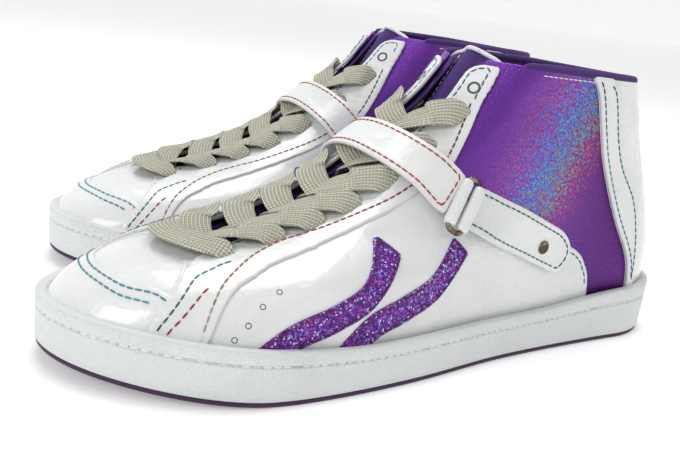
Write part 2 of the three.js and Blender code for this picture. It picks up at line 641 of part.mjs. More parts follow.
function tongue() {
  const sections = [];
  const steps = 12;
  for (let i = 0; i <= steps; i += 1) {
    const share = i / steps;
    const level = lerp(3.1, 10.3, share);
    const sewn = clamp(1 - share * 13, 0, 1);
    const taper = Math.sqrt(1 - clamp((share - 0.9) / 0.125, 0, 1) ** 2);
    const waist = lerp(1, TONGUE_TOP / TONGUE_WIDTH, THREE.MathUtils.smoothstep(level, 7, 9.5));
    const half = TONGUE_WIDTH / 2 * lerp(0.8, 1, clamp(share * 3, 0, 1)) * waist * taper;
    const seat = lerp(LACE_UNDER - LACE_THICK / 2 - 3 * GAP, INSIDE_LIFT - 2.5 * GAP, sewn);
    const bulge = 5.5 * THREE.MathUtils.smoothstep(level, 7.5, 10.5);
    const stretch = Array.from({ length: 7 }, (unused, k) => (k / 3 - 1));
    const lift = (across) => seat
      + bulge * clamp(1 - (across * half / (slotHalf(level) - 1)) ** 2, 0, 1) ** 1.5;
    const thick = (across) => TONGUE_PAD * (1 - 0.8 * across ** 4);
    sections.push([
      ...stretch.map((across) => onThroat(level, across * half, lift(across))),
      ...stretch.toReversed().map((across) => onThroat(level, across * half,
        lift(across) - thick(across))),
    ]);
  }
  return cappedLoft(sections);
}

function collarBinding() {
  const bead = form(GAP, 0, BINDING_SEAT + BINDING_RISE).subtract(form(3 * GAP, 4, BINDING_SEAT))
    .subtract(form(INSIDE_LIFT - GAP, 4, 1));
  return bead.subtract(sidePrism([[-100, 60], [38, 60], [38, 160], [-100, 160]]));
}

// ---------------------------------------------------------------- the pair
const white = { color: 0xe4e7e4, roughness: 0.25, metalness: 0 };
const foil = { color: 0x5d2a86, roughness: 0.35, metalness: 0.4 };
const mesh = { color: 0x4a2478, roughness: 0.8, metalness: 0 };
const glitter = { color: 0x7b3fb0, roughness: 0.4, metalness: 0.3 };
const rubber = { color: 0xdfe1df, roughness: 0.7, metalness: 0 };
const sole = { color: 0x3a1a4a, roughness: 0.7, metalness: 0 };
const cotton = { color: 0xc9cbbd, roughness: 0.9, metalness: 0 };
const bronze = { color: 0x5a4632, roughness: 0.4, metalness: 0.9 };
const board = { color: 0xb9a98c, roughness: 0.9, metalness: 0 };
const fuzz = { color: 0x8f9094, roughness: 1, metalness: 0 };

const boardSeat = FEATHER;
const sockSeat = boardSeat + BOARD + GAP;

const pieces = {
  outsole: [layer(cupColumn(CUP_WALL, CUP_WALL, 0), 0, OUTSOLE), sole],
  midsole_cup: [midsoleCup(), rubber],
  lasting_board: [insideLayer(boardSeat, BOARD), board],
  sockliner: [insideLayer(sockSeat, SOCKLINER), mesh],
  lining: [punched(shell(LINING_LIFT, INSIDE_LIFT).subtract(slot), liningPunches), mesh],
  tongue: [tongue(), mesh],
  collar_binding: [collarBinding(), mesh],
  lace: [lace(), cotton],
  instep_strap: [instepStrap(), white],
  strap_ring: [strapRing(), bronze],
  strap_flap: [strapFlap(), white],
  flap_rivet: [flapRivet(), bronze],
};
for (const [name, body] of Object.entries(upperPanels())) {
  pieces[name] = [body, name.startsWith('collar') ? foil : white];
}
for (const [name, body] of Object.entries(overlays())) pieces[name] = [body, white];
for (const [name, body] of Object.entries(glitterBands())) pieces[name] = [body, glitter];
for (const [name, body] of Object.entries(hookAndLoop())) pieces[name] = [body, fuzz];

function mirrored(geometry) {
  const copy = geometry.clone().scale(1, -1, 1);
  copy.index.array.reverse();
  return copy;
}

const left = new THREE.Group();
const right = new THREE.Group();
for (const [name, [body, look]] of Object.entries(pieces)) {
  const geometry = geometryOf(body);
  for (const [foot, group] of Object.entries({ left, right })) {
    const material = new THREE.MeshStandardMaterial(look);
    const shape = foot === 'left' ? geometry : mirrored(geometry);
    const part = new THREE.Mesh(shape, material);
    part.name = `${foot}_${name}`;
    group.add(part);
  }
}
right.position.set(PAIR_STAGGER, PAIR_SPACING, 0);
right.rotation.z = degToRad(PAIR_TURN);

const pair = new THREE.Group();
pair.add(left, right);
pair.updateMatrixWorld(true);
const middle = new THREE.Box3().setFromObject(pair, true).getCenter(new THREE.Vector3());
pair.position.set(-middle.x, -middle.y, 0);
pair.updateMatrixWorld(true);

export default pair;
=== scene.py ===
# A pair of high-top cheer shoes: white patent leather, purple foil and glitter, flat laces, and a
# strap that closes through a metal ring. The left shoe is shaped in its own frame, in millimetres,
# toes toward -X, and every piece is copied, mirrored, to the right one.
import json
import math

import bpy
import numpy as np
from mathutils import Matrix, Vector


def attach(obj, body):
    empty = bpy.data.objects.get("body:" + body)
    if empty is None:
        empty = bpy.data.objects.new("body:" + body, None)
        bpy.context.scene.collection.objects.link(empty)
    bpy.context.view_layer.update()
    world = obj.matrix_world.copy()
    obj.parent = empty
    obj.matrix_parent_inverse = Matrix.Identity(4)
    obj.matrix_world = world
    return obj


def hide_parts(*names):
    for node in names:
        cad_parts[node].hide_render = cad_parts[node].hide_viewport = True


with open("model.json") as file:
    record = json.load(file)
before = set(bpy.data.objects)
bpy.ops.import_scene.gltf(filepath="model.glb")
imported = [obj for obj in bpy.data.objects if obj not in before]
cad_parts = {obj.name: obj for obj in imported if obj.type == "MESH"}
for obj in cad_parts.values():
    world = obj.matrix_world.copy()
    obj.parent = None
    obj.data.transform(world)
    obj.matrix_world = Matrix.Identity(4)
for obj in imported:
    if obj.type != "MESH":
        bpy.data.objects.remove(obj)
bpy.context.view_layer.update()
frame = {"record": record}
bpy.ops.object.select_all(action="DESELECT")

# ------------------------------------------------------------------ camera
# A camera just in front of the toes and to the left, held a little askew, as a hand holds it.
EYE = (-0.2560, -0.3374, 0.1284)
HEADING, PITCH, ROLL = math.radians(-36.5), math.radians(13.6), math.radians(7.6)
forward = Vector((-math.sin(HEADING) * math.cos(PITCH), math.cos(HEADING) * math.cos(PITCH),
                  -math.sin(PITCH)))
level_right = Vector((math.cos(HEADING), math.sin(HEADING), 0))
level_up = level_right.cross(forward)
right = level_right * math.cos(ROLL) + level_up * math.sin(ROLL)
up = level_up * math.cos(ROLL) - level_right * math.sin(ROLL)
lens = bpy.data.cameras.new("camera")
lens.sensor_width, lens.lens = 36, 51.602
lens.clip_start = 0.01
camera = bpy.data.objects.new("camera", lens)
turned = Matrix((right, up, -forward)).transposed().to_4x4()
camera.matrix_world = Matrix.Translation(EYE) @ turned
bpy.context.collection.objects.link(camera)
bpy.context.scene.camera = camera
bpy.context.scene.view_settings.view_transform = "Standard"


# ------------------------------------------------------------------ studio
# A pale floor that fades into a white room, with a big soft box overhead, one at the left for the
# long highlights on the patent leather, and a weak fill from the front.
class Wire:
    """A shader socket that takes part in sums."""

    def __init__(self, finish, socket):
        self.finish, self.socket = finish, socket

    def _sum(self, operation, *values):
        return self.finish.node("Math", {"operation": operation}, *values)

    def __add__(self, other):
        return self._sum("ADD", self, other)

    def __sub__(self, other):
        return self._sum("SUBTRACT", self, other)

    def __rsub__(self, other):
        return self._sum("SUBTRACT", other, self)

    def __mul__(self, other):
        return self._sum("MULTIPLY", self, other)

    def __gt__(self, other):
        return self._sum("GREATER_THAN", self, other)

    def __abs__(self):
        return self._sum("ABSOLUTE", self)

    def sine(self):
        return self._sum("SINE", self)

    def within(self, low, high):
        settings = {"interpolation_type": "SMOOTHSTEP"}
        return self.finish.node("MapRange", settings, self, low, high, 0.0, 1.0)

    __radd__, __rmul__ = __add__, __mul__


class Finish:
    """A material: a Principled shader and the nodes that feed it."""

    def __init__(self, name, **sockets):
        self.material = bpy.data.materials.new(name)
        self.material.use_nodes = True
        self.tree = self.material.node_tree
        self.shader = self.tree.nodes["Principled BSDF"]
        self.set(**sockets)

    def link(self, socket, value):
        if isinstance(value, Wire):
            self.tree.links.new(value.socket, socket)
        elif hasattr(value, "__len__") and len(value) == 3 and len(socket.default_value) == 4:
            socket.default_value = (*value, 1)
        else:
            socket.default_value = value

    def set(self, **sockets):
        for name, value in sockets.items():
            self.link(self.shader.inputs[name.replace("_", " ")], value)

    def node(self, kind, settings, *values, out=0):
        node = self.tree.nodes.new("ShaderNode" + kind)
        for name, value in settings.items():
            if name == "stops":
                ramp = node.color_ramp
                while len(ramp.elements) < len(value):
                    ramp.elements.new(0.5)
                for element, (place, colour) in zip(ramp.elements, value):
                    element.position, element.color = place, (*colour, 1)
            else:
                setattr(node, name, value)
        for i, value in enumerate(values):
            if isinstance(value, tuple) and isinstance(value[0], str):
                self.link(node.inputs[value[0]], value[1])
            elif value is not None:
                self.link(node.inputs[i], value)
        return Wire(self, node.outputs[out])

    def here(self):
        return self.node("TexCoord", {}, out="Object")

    def noise(self, scale, detail=2.0, place=None, distortion=0.0):
        return self.node("TexNoise", {}, ("Vector", place or self.here()), ("Scale", scale),
                         ("Detail", detail), ("Distortion", distortion))

    def cells(self, scale, out="Distance", place=None):
        return self.node("TexVoronoi", {}, ("Vector", place or self.here()), ("Scale", scale),
                         out=out)

    def mix(self, share, first, second):
        node = self.tree.nodes.new("ShaderNodeMix")
        node.data_type = "RGBA"
        self.link(node.inputs[0], share)
        self.link(node.inputs[6], first)
        self.link(node.inputs[7], second)
        return Wire(self, node.outputs[2])

    def bump(self, height, depth, strength=1.0):
        normal = self.node("Bump", {}, ("Strength", strength), ("Distance", depth),
                           ("Height", height))
        self.set(Normal=normal)


FLOOR_HALF, BACKDROP_AWAY, LIT_SPOT = 30.0, 12, (0, 0, 0.06)
bpy.ops.mesh.primitive_plane_add(size=2 * FLOOR_HALF)
floor = bpy.context.object
floor.name = "floor"
paper = Finish("floor_paper", Roughness=0.85, Emission_Color=(1, 1, 1), Emission_Strength=0.3)
paper.set(Base_Color=paper.mix(paper.noise(3.0), (0.87, 0.87, 0.875), (0.91, 0.91, 0.91)))
floor.data.materials.append(paper.material)
bpy.ops.mesh.primitive_plane_add(size=2 * FLOOR_HALF, rotation=(math.pi / 2, 0, HEADING),
                                 location=BACKDROP_AWAY * forward * Vector((1, 1, 0)))
backdrop = bpy.context.object
backdrop.name = "backdrop"
backdrop.data.materials.append(paper.material)

world = bpy.data.worlds.new("room")
world.use_nodes = True
world.node_tree.nodes["Background"].inputs[0].default_value = (1.0, 1.0, 1.0, 1)
world.node_tree.nodes["Background"].inputs[1].default_value = 0.5
bpy.context.scene.world = world
for name, place, size, power in (("overhead_box", (0.1, 0.25, 1.2), 0.8, 7.5),
                                 ("left_box", (-1.2, -0.3, 0.7), 0.5, 4.5),
                                 ("front_fill", (0.6, -1.4, 0.5), 0.9, 1.5)):
    light = bpy.data.lights.new(name, "AREA")
    light.energy, light.size = power, size
    lamp = bpy.data.objects.new(name, light)
    aim = (Vector(LIT_SPOT) - Vector(place)).to_track_quat("-Z", "Y")
    lamp.matrix_world = Matrix.Translation(place) @ aim.to_matrix().to_4x4()
    bpy.context.collection.objects.link(lamp)

# ------------------------------------------------------------------ lining
# The woven mesh inside, and the form that everything is lasted on. The form is a fan of slices:
# level 0 is the feather line over the sole and level 10 the collar, and turn goes round the shoe
# from the ridge over the toe, by the lateral side (-Y) and the heel, to the medial side.
RIDGE = [(-132, 0), (-133, 10.5), (-127.5, 19.5), (-112, 27), (-90, 32.5), (-66, 38.5),
         (-42, 48.5), (-18, 65.5), (3, 83.5), (11.5, 93), (18.5, 101.5), (25.5, 112), (32.5, 123)]
HEEL = [(132, 0), (134, 13), (134.5, 24.5), (133, 35.5), (130.5, 46.5), (127, 56.5),
        (122.5, 66.5), (118, 75.5), (114, 84), (110.5, 91.5), (107, 98.5), (104, 105), (101, 112)]
LATERAL = [(40, 46, 43, 35, 31.5, 31), (36, 44, 39, 32, 30, 32), (27, 30, 32, 31, 29, 29),
           (22, 26, 29, 30, 28, 26), (24, 27, 29, 30, 28, 24)]
MEDIAL = [(38, 44, 37, 30, 31, 31), (34, 41, 35, 29, 30, 32), (27, 29, 31, 30, 29, 29),
          (22, 26, 29, 30, 28, 26), (24, 27, 29, 30, 28, 24)]
FRONT_ROUND = (0.2, 0.22, 0.16, 0.2, 0.22)
BACK_ROUND = (0.13, 0.15, 0.2, 0.25, 0.3)
TOE_SWING = 6
TOE_SPRING = 5
FEATHER = 8.3
COLLAR = 10
LEVELS, TURNS = 84, 560
MM = 0.001
FEET = {"left": (Vector((-19.74, -56.486, 0)), 1, 0.0),
        "right": (Vector((20.26, 50.514, 0)), -1, math.radians(-5))}


def between(a, b, c, d, share):
    """The smooth curve from b to c, with a before them and d after them."""
    p, q = (c - a) / 2, (d - b) / 2
    return (2 * b - 2 * c + p + q) * share ** 3 + (3 * c - 3 * b - 2 * p - q) * share ** 2 \
        + p * share + b


def curve(points, place):
    """A smooth curve through the points, at places from 0 to 1."""
    points = np.asarray(points, float)
    last = len(points) - 1
    place = np.clip(np.asarray(place, float), 0, 1) * last
    i = np.clip(np.floor(place).astype(int), 0, last)
    share = (place - i)[..., None]
    return between(*(points[np.clip(i + k, 0, last)] for k in (-1, 0, 1, 2)), share)


def smoothed(points, steps):
    return curve(points, np.linspace(0, 1, steps * (len(points) - 1) + 1))


def toe_spring(x, height):
    forward_share = np.clip((-70 - x) / 62, 0, 2)
    return TOE_SPRING * forward_share ** 1.6 * np.clip(1 - height / 16, 0, 1)


def rows_at(rows, level):
    """Blends five rows of values, one for each fourth of the way up."""
    place = np.clip(level / COLLAR, 0, 1) * 4
    i = np.clip(np.floor(place).astype(int), 0, 4)
    pick = (np.take_along_axis(rows, np.clip(i + k, 0, 4)[None], 0)[0] for k in (-1, 0, 1, 2))
    return between(*pick, place - i)


def last_point(level, turn):
    level, turn = np.broadcast_arrays(np.asarray(level, float), np.asarray(turn, float))
    angle = 2 * np.pi * turn
    along = (1 - np.cos(angle)) / 2
    lateral = np.sin(angle) >= 0
    front = curve(RIDGE, level / 12)
    back = curve(HEEL, level / 12)
    widths = []
    for table in (LATERAL, MEDIAL):
        rows = np.stack([curve(np.array(row)[:, None], along)[..., 0] for row in table])
        widths.append(rows_at(rows, level))
    ends = [rows_at(np.stack([np.full(level.shape, v) for v in row]), level)
            for row in (FRONT_ROUND, BACK_ROUND)]
    width = np.where(lateral, *widths)
    for share, end in ((along, ends[0]), (1 - along, ends[1])):
        width = width * np.sqrt(1 - (1 - np.clip(share / end, 0, 1)) ** 2)
    swing = TOE_SWING * np.clip(1 - along / 0.4, 0, 1) ** 2 * np.clip(1 - level / COLLAR, 0, 1)
    flat = front + (back - front) * along[..., None]
    y = swing + np.where(lateral, -width, width)
    rise = FEATHER + flat[..., 1] + toe_spring(flat[..., 0], flat[..., 1])
    return np.stack([flat[..., 0], y, rise], -1)


def unit(vectors):
    return vectors / np.maximum(np.linalg.norm(vectors, axis=-1, keepdims=True), 1e-9)


def last_skin(level, turn):
    """Points of the form and its outward normals."""
    level = np.asarray(level, float)
    low = np.maximum(level - 0.05, 0)
    rise = last_point(low + 0.1, turn) - last_point(low, turn)
    run = last_point(level, turn + 0.002) - last_point(level, turn - 0.002)
    return last_point(level, turn), unit(np.cross(run, rise))


level_grid, turn_grid = np.meshgrid(np.linspace(0, COLLAR, LEVELS + 1),
                                    np.arange(TURNS) / TURNS, indexing="ij")
skin_grid, normal_grid = last_skin(level_grid, turn_grid)


def trimmed(inside):
    """The part of the form's grid where inside is not negative: its level and turn, faces, the
    value of inside at each corner, and the loops round its edge."""
    inside = np.where(np.abs(inside) < 0.12, 0.0, inside)
    number, corners = {}, []

    def corner(i, j):
        key = (i, j % TURNS)
        if key not in number:
            number[key] = len(corners)
            corners.append((level_grid[key], turn_grid[key], inside[key]))
        return number[key]

    def crossing(a, b):
        fa, fb = inside[a[0], a[1] % TURNS], inside[b[0], b[1] % TURNS]
        if fa == 0:
            return corner(*a)
        if fb == 0:
            return corner(*b)
        ends = tuple(sorted(((a[0], a[1] % TURNS), (b[0], b[1] % TURNS))))
        if ends not in number:
            share = fa / (fa - fb)
            number[ends] = len(corners)
            level = (a[0] + (b[0] - a[0]) * share) * COLLAR / LEVELS
            corners.append((level, (a[1] + (b[1] - a[1]) * share) / TURNS, 0.0))
        return number[ends]

    good = inside >= 0
    beside = np.roll(good, -1, axis=1)
    count = good[:-1].astype(int) + beside[:-1] + beside[1:] + good[1:]
    faces = []
    for i, j in zip(*np.nonzero(count)):
        square = [(i, j), (i, j + 1), (i + 1, j + 1), (i + 1, j)]
        if count[i, j] == 4:
            faces.append([corner(*c) for c in square])
            continue
        face = []
        for k in range(4):
            a, b = square[k], square[(k + 1) % 4]
            in_a, in_b = good[a[0], a[1] % TURNS], good[b[0], b[1] % TURNS]
            if in_a:
                face.append(corner(*a))
            if in_a != in_b:
                face.append(crossing(a, b))
        tidy = [c for k, c in enumerate(face) if c != face[k - 1]]
        if len(set(tidy)) == len(tidy) and len(tidy) > 2:
            faces.append(tidy)
    edges = {}
    for face in faces:
        for a, b in zip(face, face[1:] + face[:1]):
            edges[a, b] = True
    after = {}
    for a, b in edges:
        if (b, a) not in edges:
            after.setdefault(a, []).append(b)
    loops = []
    while after:
        start = next(iter(after))
        loop = [start]
        while loop[-1] in after:
            choices = after[loop[-1]]
            step = choices.pop()
            if not choices:
                del after[loop[-1]]
            if step == start:
                break
            loop.append(step)
        if len(loop) > 4:
            loops.append(loop)
    level, turn, value = np.array(corners, float).T
    return level, turn, value, faces, loops


def mesh_piece(name, points, faces, uv, body, finish, nodes=(), shade=None):
    """Makes a piece for the left shoe and its mirror image for the right one."""
    made = []
    for foot, (seat, side, turn) in FEET.items():
        place = Matrix.Translation(seat) @ Matrix.Rotation(turn, 4, "Z")
        local = np.asarray(points, float) * (1, side, 1)
        spots = (local @ np.array(place.to_3x3()).T + np.array(seat)) * MM
        mesh = bpy.data.meshes.new(f"{foot}_{name}")
        mesh.from_pydata(spots.tolist(), [], [f if side > 0 else f[::-1] for f in faces])
        layer = mesh.uv_layers.new(name="cloth")
        corner = np.empty(len(mesh.loops), int)
        mesh.loops.foreach_get("vertex_index", corner)
        layer.data.foreach_set("uv", (np.asarray(uv, float)[corner] * MM).ravel())
        if shade is not None:
            mesh.attributes.new("shade", "FLOAT", "POINT").data.foreach_set("value", shade)
        mesh.shade_smooth()
        mesh.materials.append(finish.material)
        piece = bpy.data.objects.new(f"{foot}_{name}", mesh)
        bpy.context.collection.objects.link(piece)
        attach(piece, f"{foot}_{body}")
        if nodes:
            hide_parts(*(f"{foot}_{node}" for node in nodes))
        made.append(piece)
    return made


def panel(name, inside, top, thick, finish, slot, nodes=(), body="shoe", roll=0.55):
    """A cut panel lasted over the form: its top face, rounded edges, walls and underside. inside
    is the distance from its edge, positive on the panel; top is its height over the form."""
    level, turn, value, faces, loops = trimmed(inside - roll)
    point, normal = last_skin(level, turn)
    rise = top(level, turn, point) if callable(top) else np.full(len(level), top)
    outer = point + normal * rise[:, None]
    points = [outer, outer - normal * thick]
    shade = [value + roll, value + roll]
    count = len(outer)
    faces = faces + [[c + count for c in face[::-1]] for face in faces]
    total = 2 * count
    for loop in loops:
        loop = np.array(loop)
        tangent = unit(np.roll(outer[loop], -1, 0) - np.roll(outer[loop], 1, 0))
        out = unit(np.cross(tangent, normal[loop]))
        rings = [loop]
        for angle, drop in ((0.5, None), (1.05, None), (1.57, None), (1.57, thick)):
            down = roll * (1 - math.cos(angle)) if drop is None else drop
            points.append(outer[loop] + out * roll * math.sin(angle) - normal[loop] * down)
            shade.append(np.full(len(loop), roll * (1 - math.sin(angle))))
            rings.append(np.arange(total, total + len(loop)))
            total += len(loop)
        rings.append(loop + count)
        for ring, beyond in zip(rings, rings[1:]):
            for k in range(len(loop)):
                n = (k + 1) % len(loop)
                faces.append([ring[n], ring[k], beyond[k], beyond[n]])
    points, shade = np.vstack(points), np.concatenate(shade)
    uv = points[:, [0, 2]]
    return mesh_piece(name, points, [[int(c) for c in f] for f in faces], uv, body, finish,
                      nodes, shade)


def to_polygon(outline, x, y):
    """Signed distance to a closed outline, positive inside it."""
    outline = np.asarray(outline, float)
    spots = np.stack([x, y], -1)
    best = np.full(x.shape, 1e9)
    odd = np.zeros(x.shape, bool)
    for a, b in zip(outline, np.roll(outline, -1, 0)):
        run = b - a
        share = np.clip(((spots - a) @ run) / max(run @ run, 1e-12), 0, 1)
        gap = spots - a - share[..., None] * run
        best = np.minimum(best, np.hypot(gap[..., 0], gap[..., 1]))
        over = (a[1] > y) != (b[1] > y)
        if a[1] != b[1]:
            odd ^= over & (x < a[0] + (y - a[1]) / (b[1] - a[1]) * run[0])
    return np.where(odd, best, -best)


x_grid, y_grid = skin_grid[..., 0], skin_grid[..., 1]
slice_share = ((1 - np.cos(2 * np.pi * turn_grid)) / 2)[..., None]
slice_front, slice_back = curve(RIDGE, level_grid / 12), curve(HEEL, level_grid / 12)
height_grid = (slice_front + (slice_back - slice_front) * slice_share)[..., 1]
slot_front, slot_back = np.array([-93, 32]), np.array([18.5, 101.5])
slot_length = math.dist(slot_front, slot_back)
slot_run = (slot_back - slot_front) / slot_length
SLOT_HALF, SLOT_FLARE = 12, -4.5
along_slot = (x_grid + 93) * slot_run[0] + (height_grid - 32) * slot_run[1]
half_slot = SLOT_HALF + SLOT_FLARE * np.clip(along_slot / slot_length, 0, 1)
beside_slot = np.where(along_slot < SLOT_HALF,
                       np.hypot(along_slot - SLOT_HALF, y_grid) - SLOT_HALF,
                       np.abs(y_grid) - half_slot)
deep = (height_grid < 20) | (x_grid > 60)
beside_slot = np.where(deep, 60.0, beside_slot)
below_collar = (COLLAR - level_grid) * 10.8
sides = {"lateral": turn_grid < 0.5, "medial": turn_grid > 0.5}
one_side = {side: np.where(here, 60.0, -60.0) for side, here in sides.items()}

mesh_cloth = Finish("purple_air_mesh", Roughness=0.75)
cloth_uv = mesh_cloth.node("UVMap", {"uv_map": "cloth"})
across, upward, _ = (mesh_cloth.node("SeparateXYZ", {}, cloth_uv, out=k) for k in range(3))
weave = (across * 5200).sine() * (upward * 5200).sine()
thread_tops = weave.within(-0.2, 0.75)
tint = mesh_cloth.mix(mesh_cloth.noise(90.0), (0.10, 0.03, 0.26), (0.16, 0.055, 0.37))
# The gaps between the threads are painted near-black: painted shade in the hollows of the weave,
# over the mesh's own purple.
mesh_cloth.set(Base_Color=mesh_cloth.mix(thread_tops, (0.035, 0.008, 0.10), tint))
mesh_cloth.bump(thread_tops, 0.0004, 0.6)

panel("mesh_lining", np.minimum(beside_slot + 1, below_collar), -1.7, 1.0, mesh_cloth,
      "purple_mesh", ["lining"])

# ------------------------------------------------------------------ sole
# A cup sole: a dark purple rubber outsole with a chevron tread under a white rubber cup, whose
# wall is stippled and has a groove with a row of stitches that holds the upper.
OUTSOLE, CUP_BOTTOM = 3.0, 3.3
WALL_TOP = [(-140, 23), (-118, 20), (-90, 16.8), (-40, 17), (25, 17.5), (80, 21.5), (140, 23)]
ROUND = 480


def footprint(grow):
    """The feather line grown outward, level with the ground."""
    turn = np.arange(ROUND) / ROUND
    point, normal = last_skin(np.zeros(ROUND), turn)
    out = unit(normal * (1, 1, 0))
    return point + out * np.asarray(grow)[..., None], out


def ring_faces(rows, columns, closed=True):
    """Quads of a tube of rings; closed tubes join the last ring to the first."""
    faces = []
    for i in range(rows if closed else rows - 1):
        n = (i + 1) % rows
        for j in range(columns):
            k = (j + 1) % columns
            faces.append([i * columns + j, i * columns + k, n * columns + k, n * columns + j])
    return faces


stipple = Finish("stippled_white_rubber", Roughness=0.62)
grain = stipple.noise(1500.0, 3.0)
dirt = stipple.noise(45.0, 3.0).within(0.45, 0.75)
stipple.set(Base_Color=stipple.mix(dirt, (0.74, 0.765, 0.76), (0.67, 0.69, 0.685)))
stipple.bump(grain, 0.0008, 0.8)

wall_rows = []
outline, outward = footprint(np.zeros(ROUND))
wall_height = curve(np.array(WALL_TOP)[:, 1:], (outline[:, 0] + 140) / 280)[:, 0]
spring = toe_spring(outline[:, 0], np.zeros(ROUND))
low = CUP_BOTTOM + spring
# share of the height, outward offset and rise in millimetres, from the bottom's inner edge out,
# up past the groove, over the lip and down inside
WALL_PROFILE = [(0, -1.5, 0), (0, 3.1, 0), (0, 3.25, -1.3), (0, 3.7, -1.45), (0, 4.05, -1.1),
                (0.3, 4.35, 0), (0.5, 4.45, 0), (0.62, 4.5, 0), (0.645, 4.5, 0),
                (0.655, 4.35, 0), (0.665, 3.95, 0), (0.69, 3.95, 0), (0.70, 4.3, 0),
                (0.715, 4.45, 0), (0.85, 4.6, 0), (1, 4.65, -0.9), (1, 4.5, -0.35),
                (1, 4.1, -0.05), (1, 3.4, 0), (1, 1.6, -0.1), (1, 0.9, -0.5), (0.9, 0.5, 0),
                (0.3, 0.4, 0), (0, -1.5, 1.5)]
GROOVE_SHARE, GROOVE_OUT = 0.678, 4.15
for share, grow, rise in WALL_PROFILE:
    ring = outline + outward * grow
    ring[:, 2] = low + (wall_height - low) * share + rise
    wall_rows.append(ring)
wall_points = np.vstack(wall_rows)
girth = np.concatenate([[0], np.cumsum(np.linalg.norm(np.diff(outline, axis=0), axis=1))])
wall_uv = np.stack([np.tile(girth, len(wall_rows)), wall_points[:, 2]], -1)
mesh_piece("cup_wall", wall_points, ring_faces(len(wall_rows), ROUND), wall_uv, "shoe", stipple,
           ["midsole_cup", "lasting_board"])

purple_rubber = Finish("purple_outsole_rubber", Roughness=0.55)
purple_rubber.set(Base_Color=purple_rubber.mix(purple_rubber.noise(60.0), (0.028, 0.004, 0.036),
                                               (0.045, 0.008, 0.058)))
purple_rubber.bump(purple_rubber.noise(900.0), 0.0003, 0.4)
tread_rows = []
for grow, z in ((2.7, OUTSOLE), (3.05, OUTSOLE - 0.2), (3.1, 1.9), (3.7, 1.5), (3.6, 0.5),
                (3.2, 0.0)):
    ring = outline + outward * grow
    ring[:, 2] = z + spring
    tread_rows.append(ring)
rim = outline + outward * 3.2
for share in np.linspace(0.97, 0.02, 48):
    ring = rim * (share, share, 0)
    wave = np.sin((ring[:, 0] + 0.7 * np.abs(ring[:, 1])) * 2 * np.pi / 8.5)
    ring[:, 2] = toe_spring(ring[:, 0], 0) + 0.9 * np.clip((wave - 0.35) * 3, 0, 1) * (share < 0.93)
    tread_rows.append(ring)
for share in (0.02, 0.5, 0.97):
    ring = rim * (share, share, 0)
    ring[:, 2] = OUTSOLE - 0.1 + toe_spring(ring[:, 0], 0)
    tread_rows.append(ring)
tread_points = np.vstack(tread_rows)
mesh_piece("outsole_tread", tread_points, [f[::-1] for f in ring_faces(len(tread_rows), ROUND)],
           tread_points[:, :2], "shoe", purple_rubber, ["outsole"])

sock_rows = []
for share, z in ((0.3, 10.6), (0.97, 10.6), (1, 11.0), (1, 12.6), (0.985, 13.0), (0.93, 13.1),
                 (0.6, 13.1), (0.3, 13.1)):
    ring = (outline - outward * 3.2) * (share, share, 0)
    ring[:, 2] = z + toe_spring(ring[:, 0], 0)
    sock_rows.append(ring)
for z in (13.1, 10.6):
    sock_rows.append(np.tile((0.0, 0.0, z), (ROUND, 1)))
sock_points = np.vstack(sock_rows)
mesh_piece("sock_pad", sock_points, ring_faces(len(sock_rows), ROUND), sock_points[:, :2], "shoe",
           mesh_cloth, ["sockliner"])


# ------------------------------------------------------------------ white panels
# Patent leather, glossy with fine puckers: toe cap, vamp, quarters, eyestays, heel counter and
# heel strips. The cut edges are rounded and raw, and each panel overlaps the one before it.
patent = Finish("white_patent_leather", Coat_Roughness=0.06)
soft_creases = patent.noise(70.0, 3.0, distortion=0.6)
pores = patent.noise(2200.0, 2.0)
puckers = patent.noise(260.0, 2.0, distortion=0.4)
edge = patent.node("Attribute", {"attribute_name": "shade"}, out=2)
near_seam = 1 - edge.within(1.0, 7.0)
raw_edge = 1 - edge.within(0.35, 0.8)
clean = patent.mix(patent.noise(30.0, 2.0).within(0.35, 0.7), (0.745, 0.765, 0.755),
                   (0.80, 0.815, 0.81))
patent.set(Base_Color=patent.mix(raw_edge * 0.5, clean, (0.70, 0.66, 0.64)),
           Roughness=patent.noise(110.0).within(0.2, 0.9) * 0.16 + raw_edge * 0.35 + 0.2,
           Coat_Weight=0.65 - raw_edge * 0.6)
patent.bump(soft_creases * 0.7 + puckers * (near_seam * 0.3 + 0.06) + pores * 0.02, 0.0026, 0.6)

FRONT_EDGE = smoothed([(-111, -6), (-110, 8), (-107, 17), (-100, 24), (-91, 29), (-82, 33)], 6)
QUARTER_TOP = smoothed([(-12, 66), (0, 54), (30, 45), (60, 34), (70, 29.5), (75, 24),
                        (78, 16), (78.5, -6)], 6)
HEEL_EDGE = smoothed([(57, 112), (58, 102), (64, 94), (70, 78), (76, 65), (89, 43),
                      (100, 26), (103, 12), (103.5, -6)], 6)
STRIP_REAR = smoothed([(69, 112), (70, 101), (75.5, 94), (82, 78), (89, 65), (100, 52),
                       (105, 38), (107, 20), (107.5, -6)], 6)
TOE_ARC = smoothed([(-104, 42), (-104, 36), (-108, 27), (-115.5, 16), (-118.5, 3),
                    (-115.5, -11), (-108, -21), (-104, -31), (-104, -40)], 6)
STAY_FRONT = smoothed([(-117, -6), (-115, 10), (-111, 18), (-101, 27.5), (-93, 31),
                       (-86, 33)], 6)
STAY_BACK = smoothed([(24.6, 101.7), (13.7, 83.7), (0, 64.5), (-10, 57), (-23, 49), (-38, 42.5),
                      (-54, 37), (-74, 31.5), (-88, 26), (-95, 20), (-99, 12), (-101, 4),
                      (-102, -6)], 6)


def pattern(outline):
    return to_polygon(outline, x_grid, height_grid)


def rounded_corner(first, second, radius):
    """Inside both edges, with the corner between them rounded."""
    in_corner = (first < radius) & (second < radius)
    miss = np.hypot(np.maximum(radius - first, 0), np.maximum(radius - second, 0))
    return np.where(in_corner, radius - miss, np.minimum(first, second))


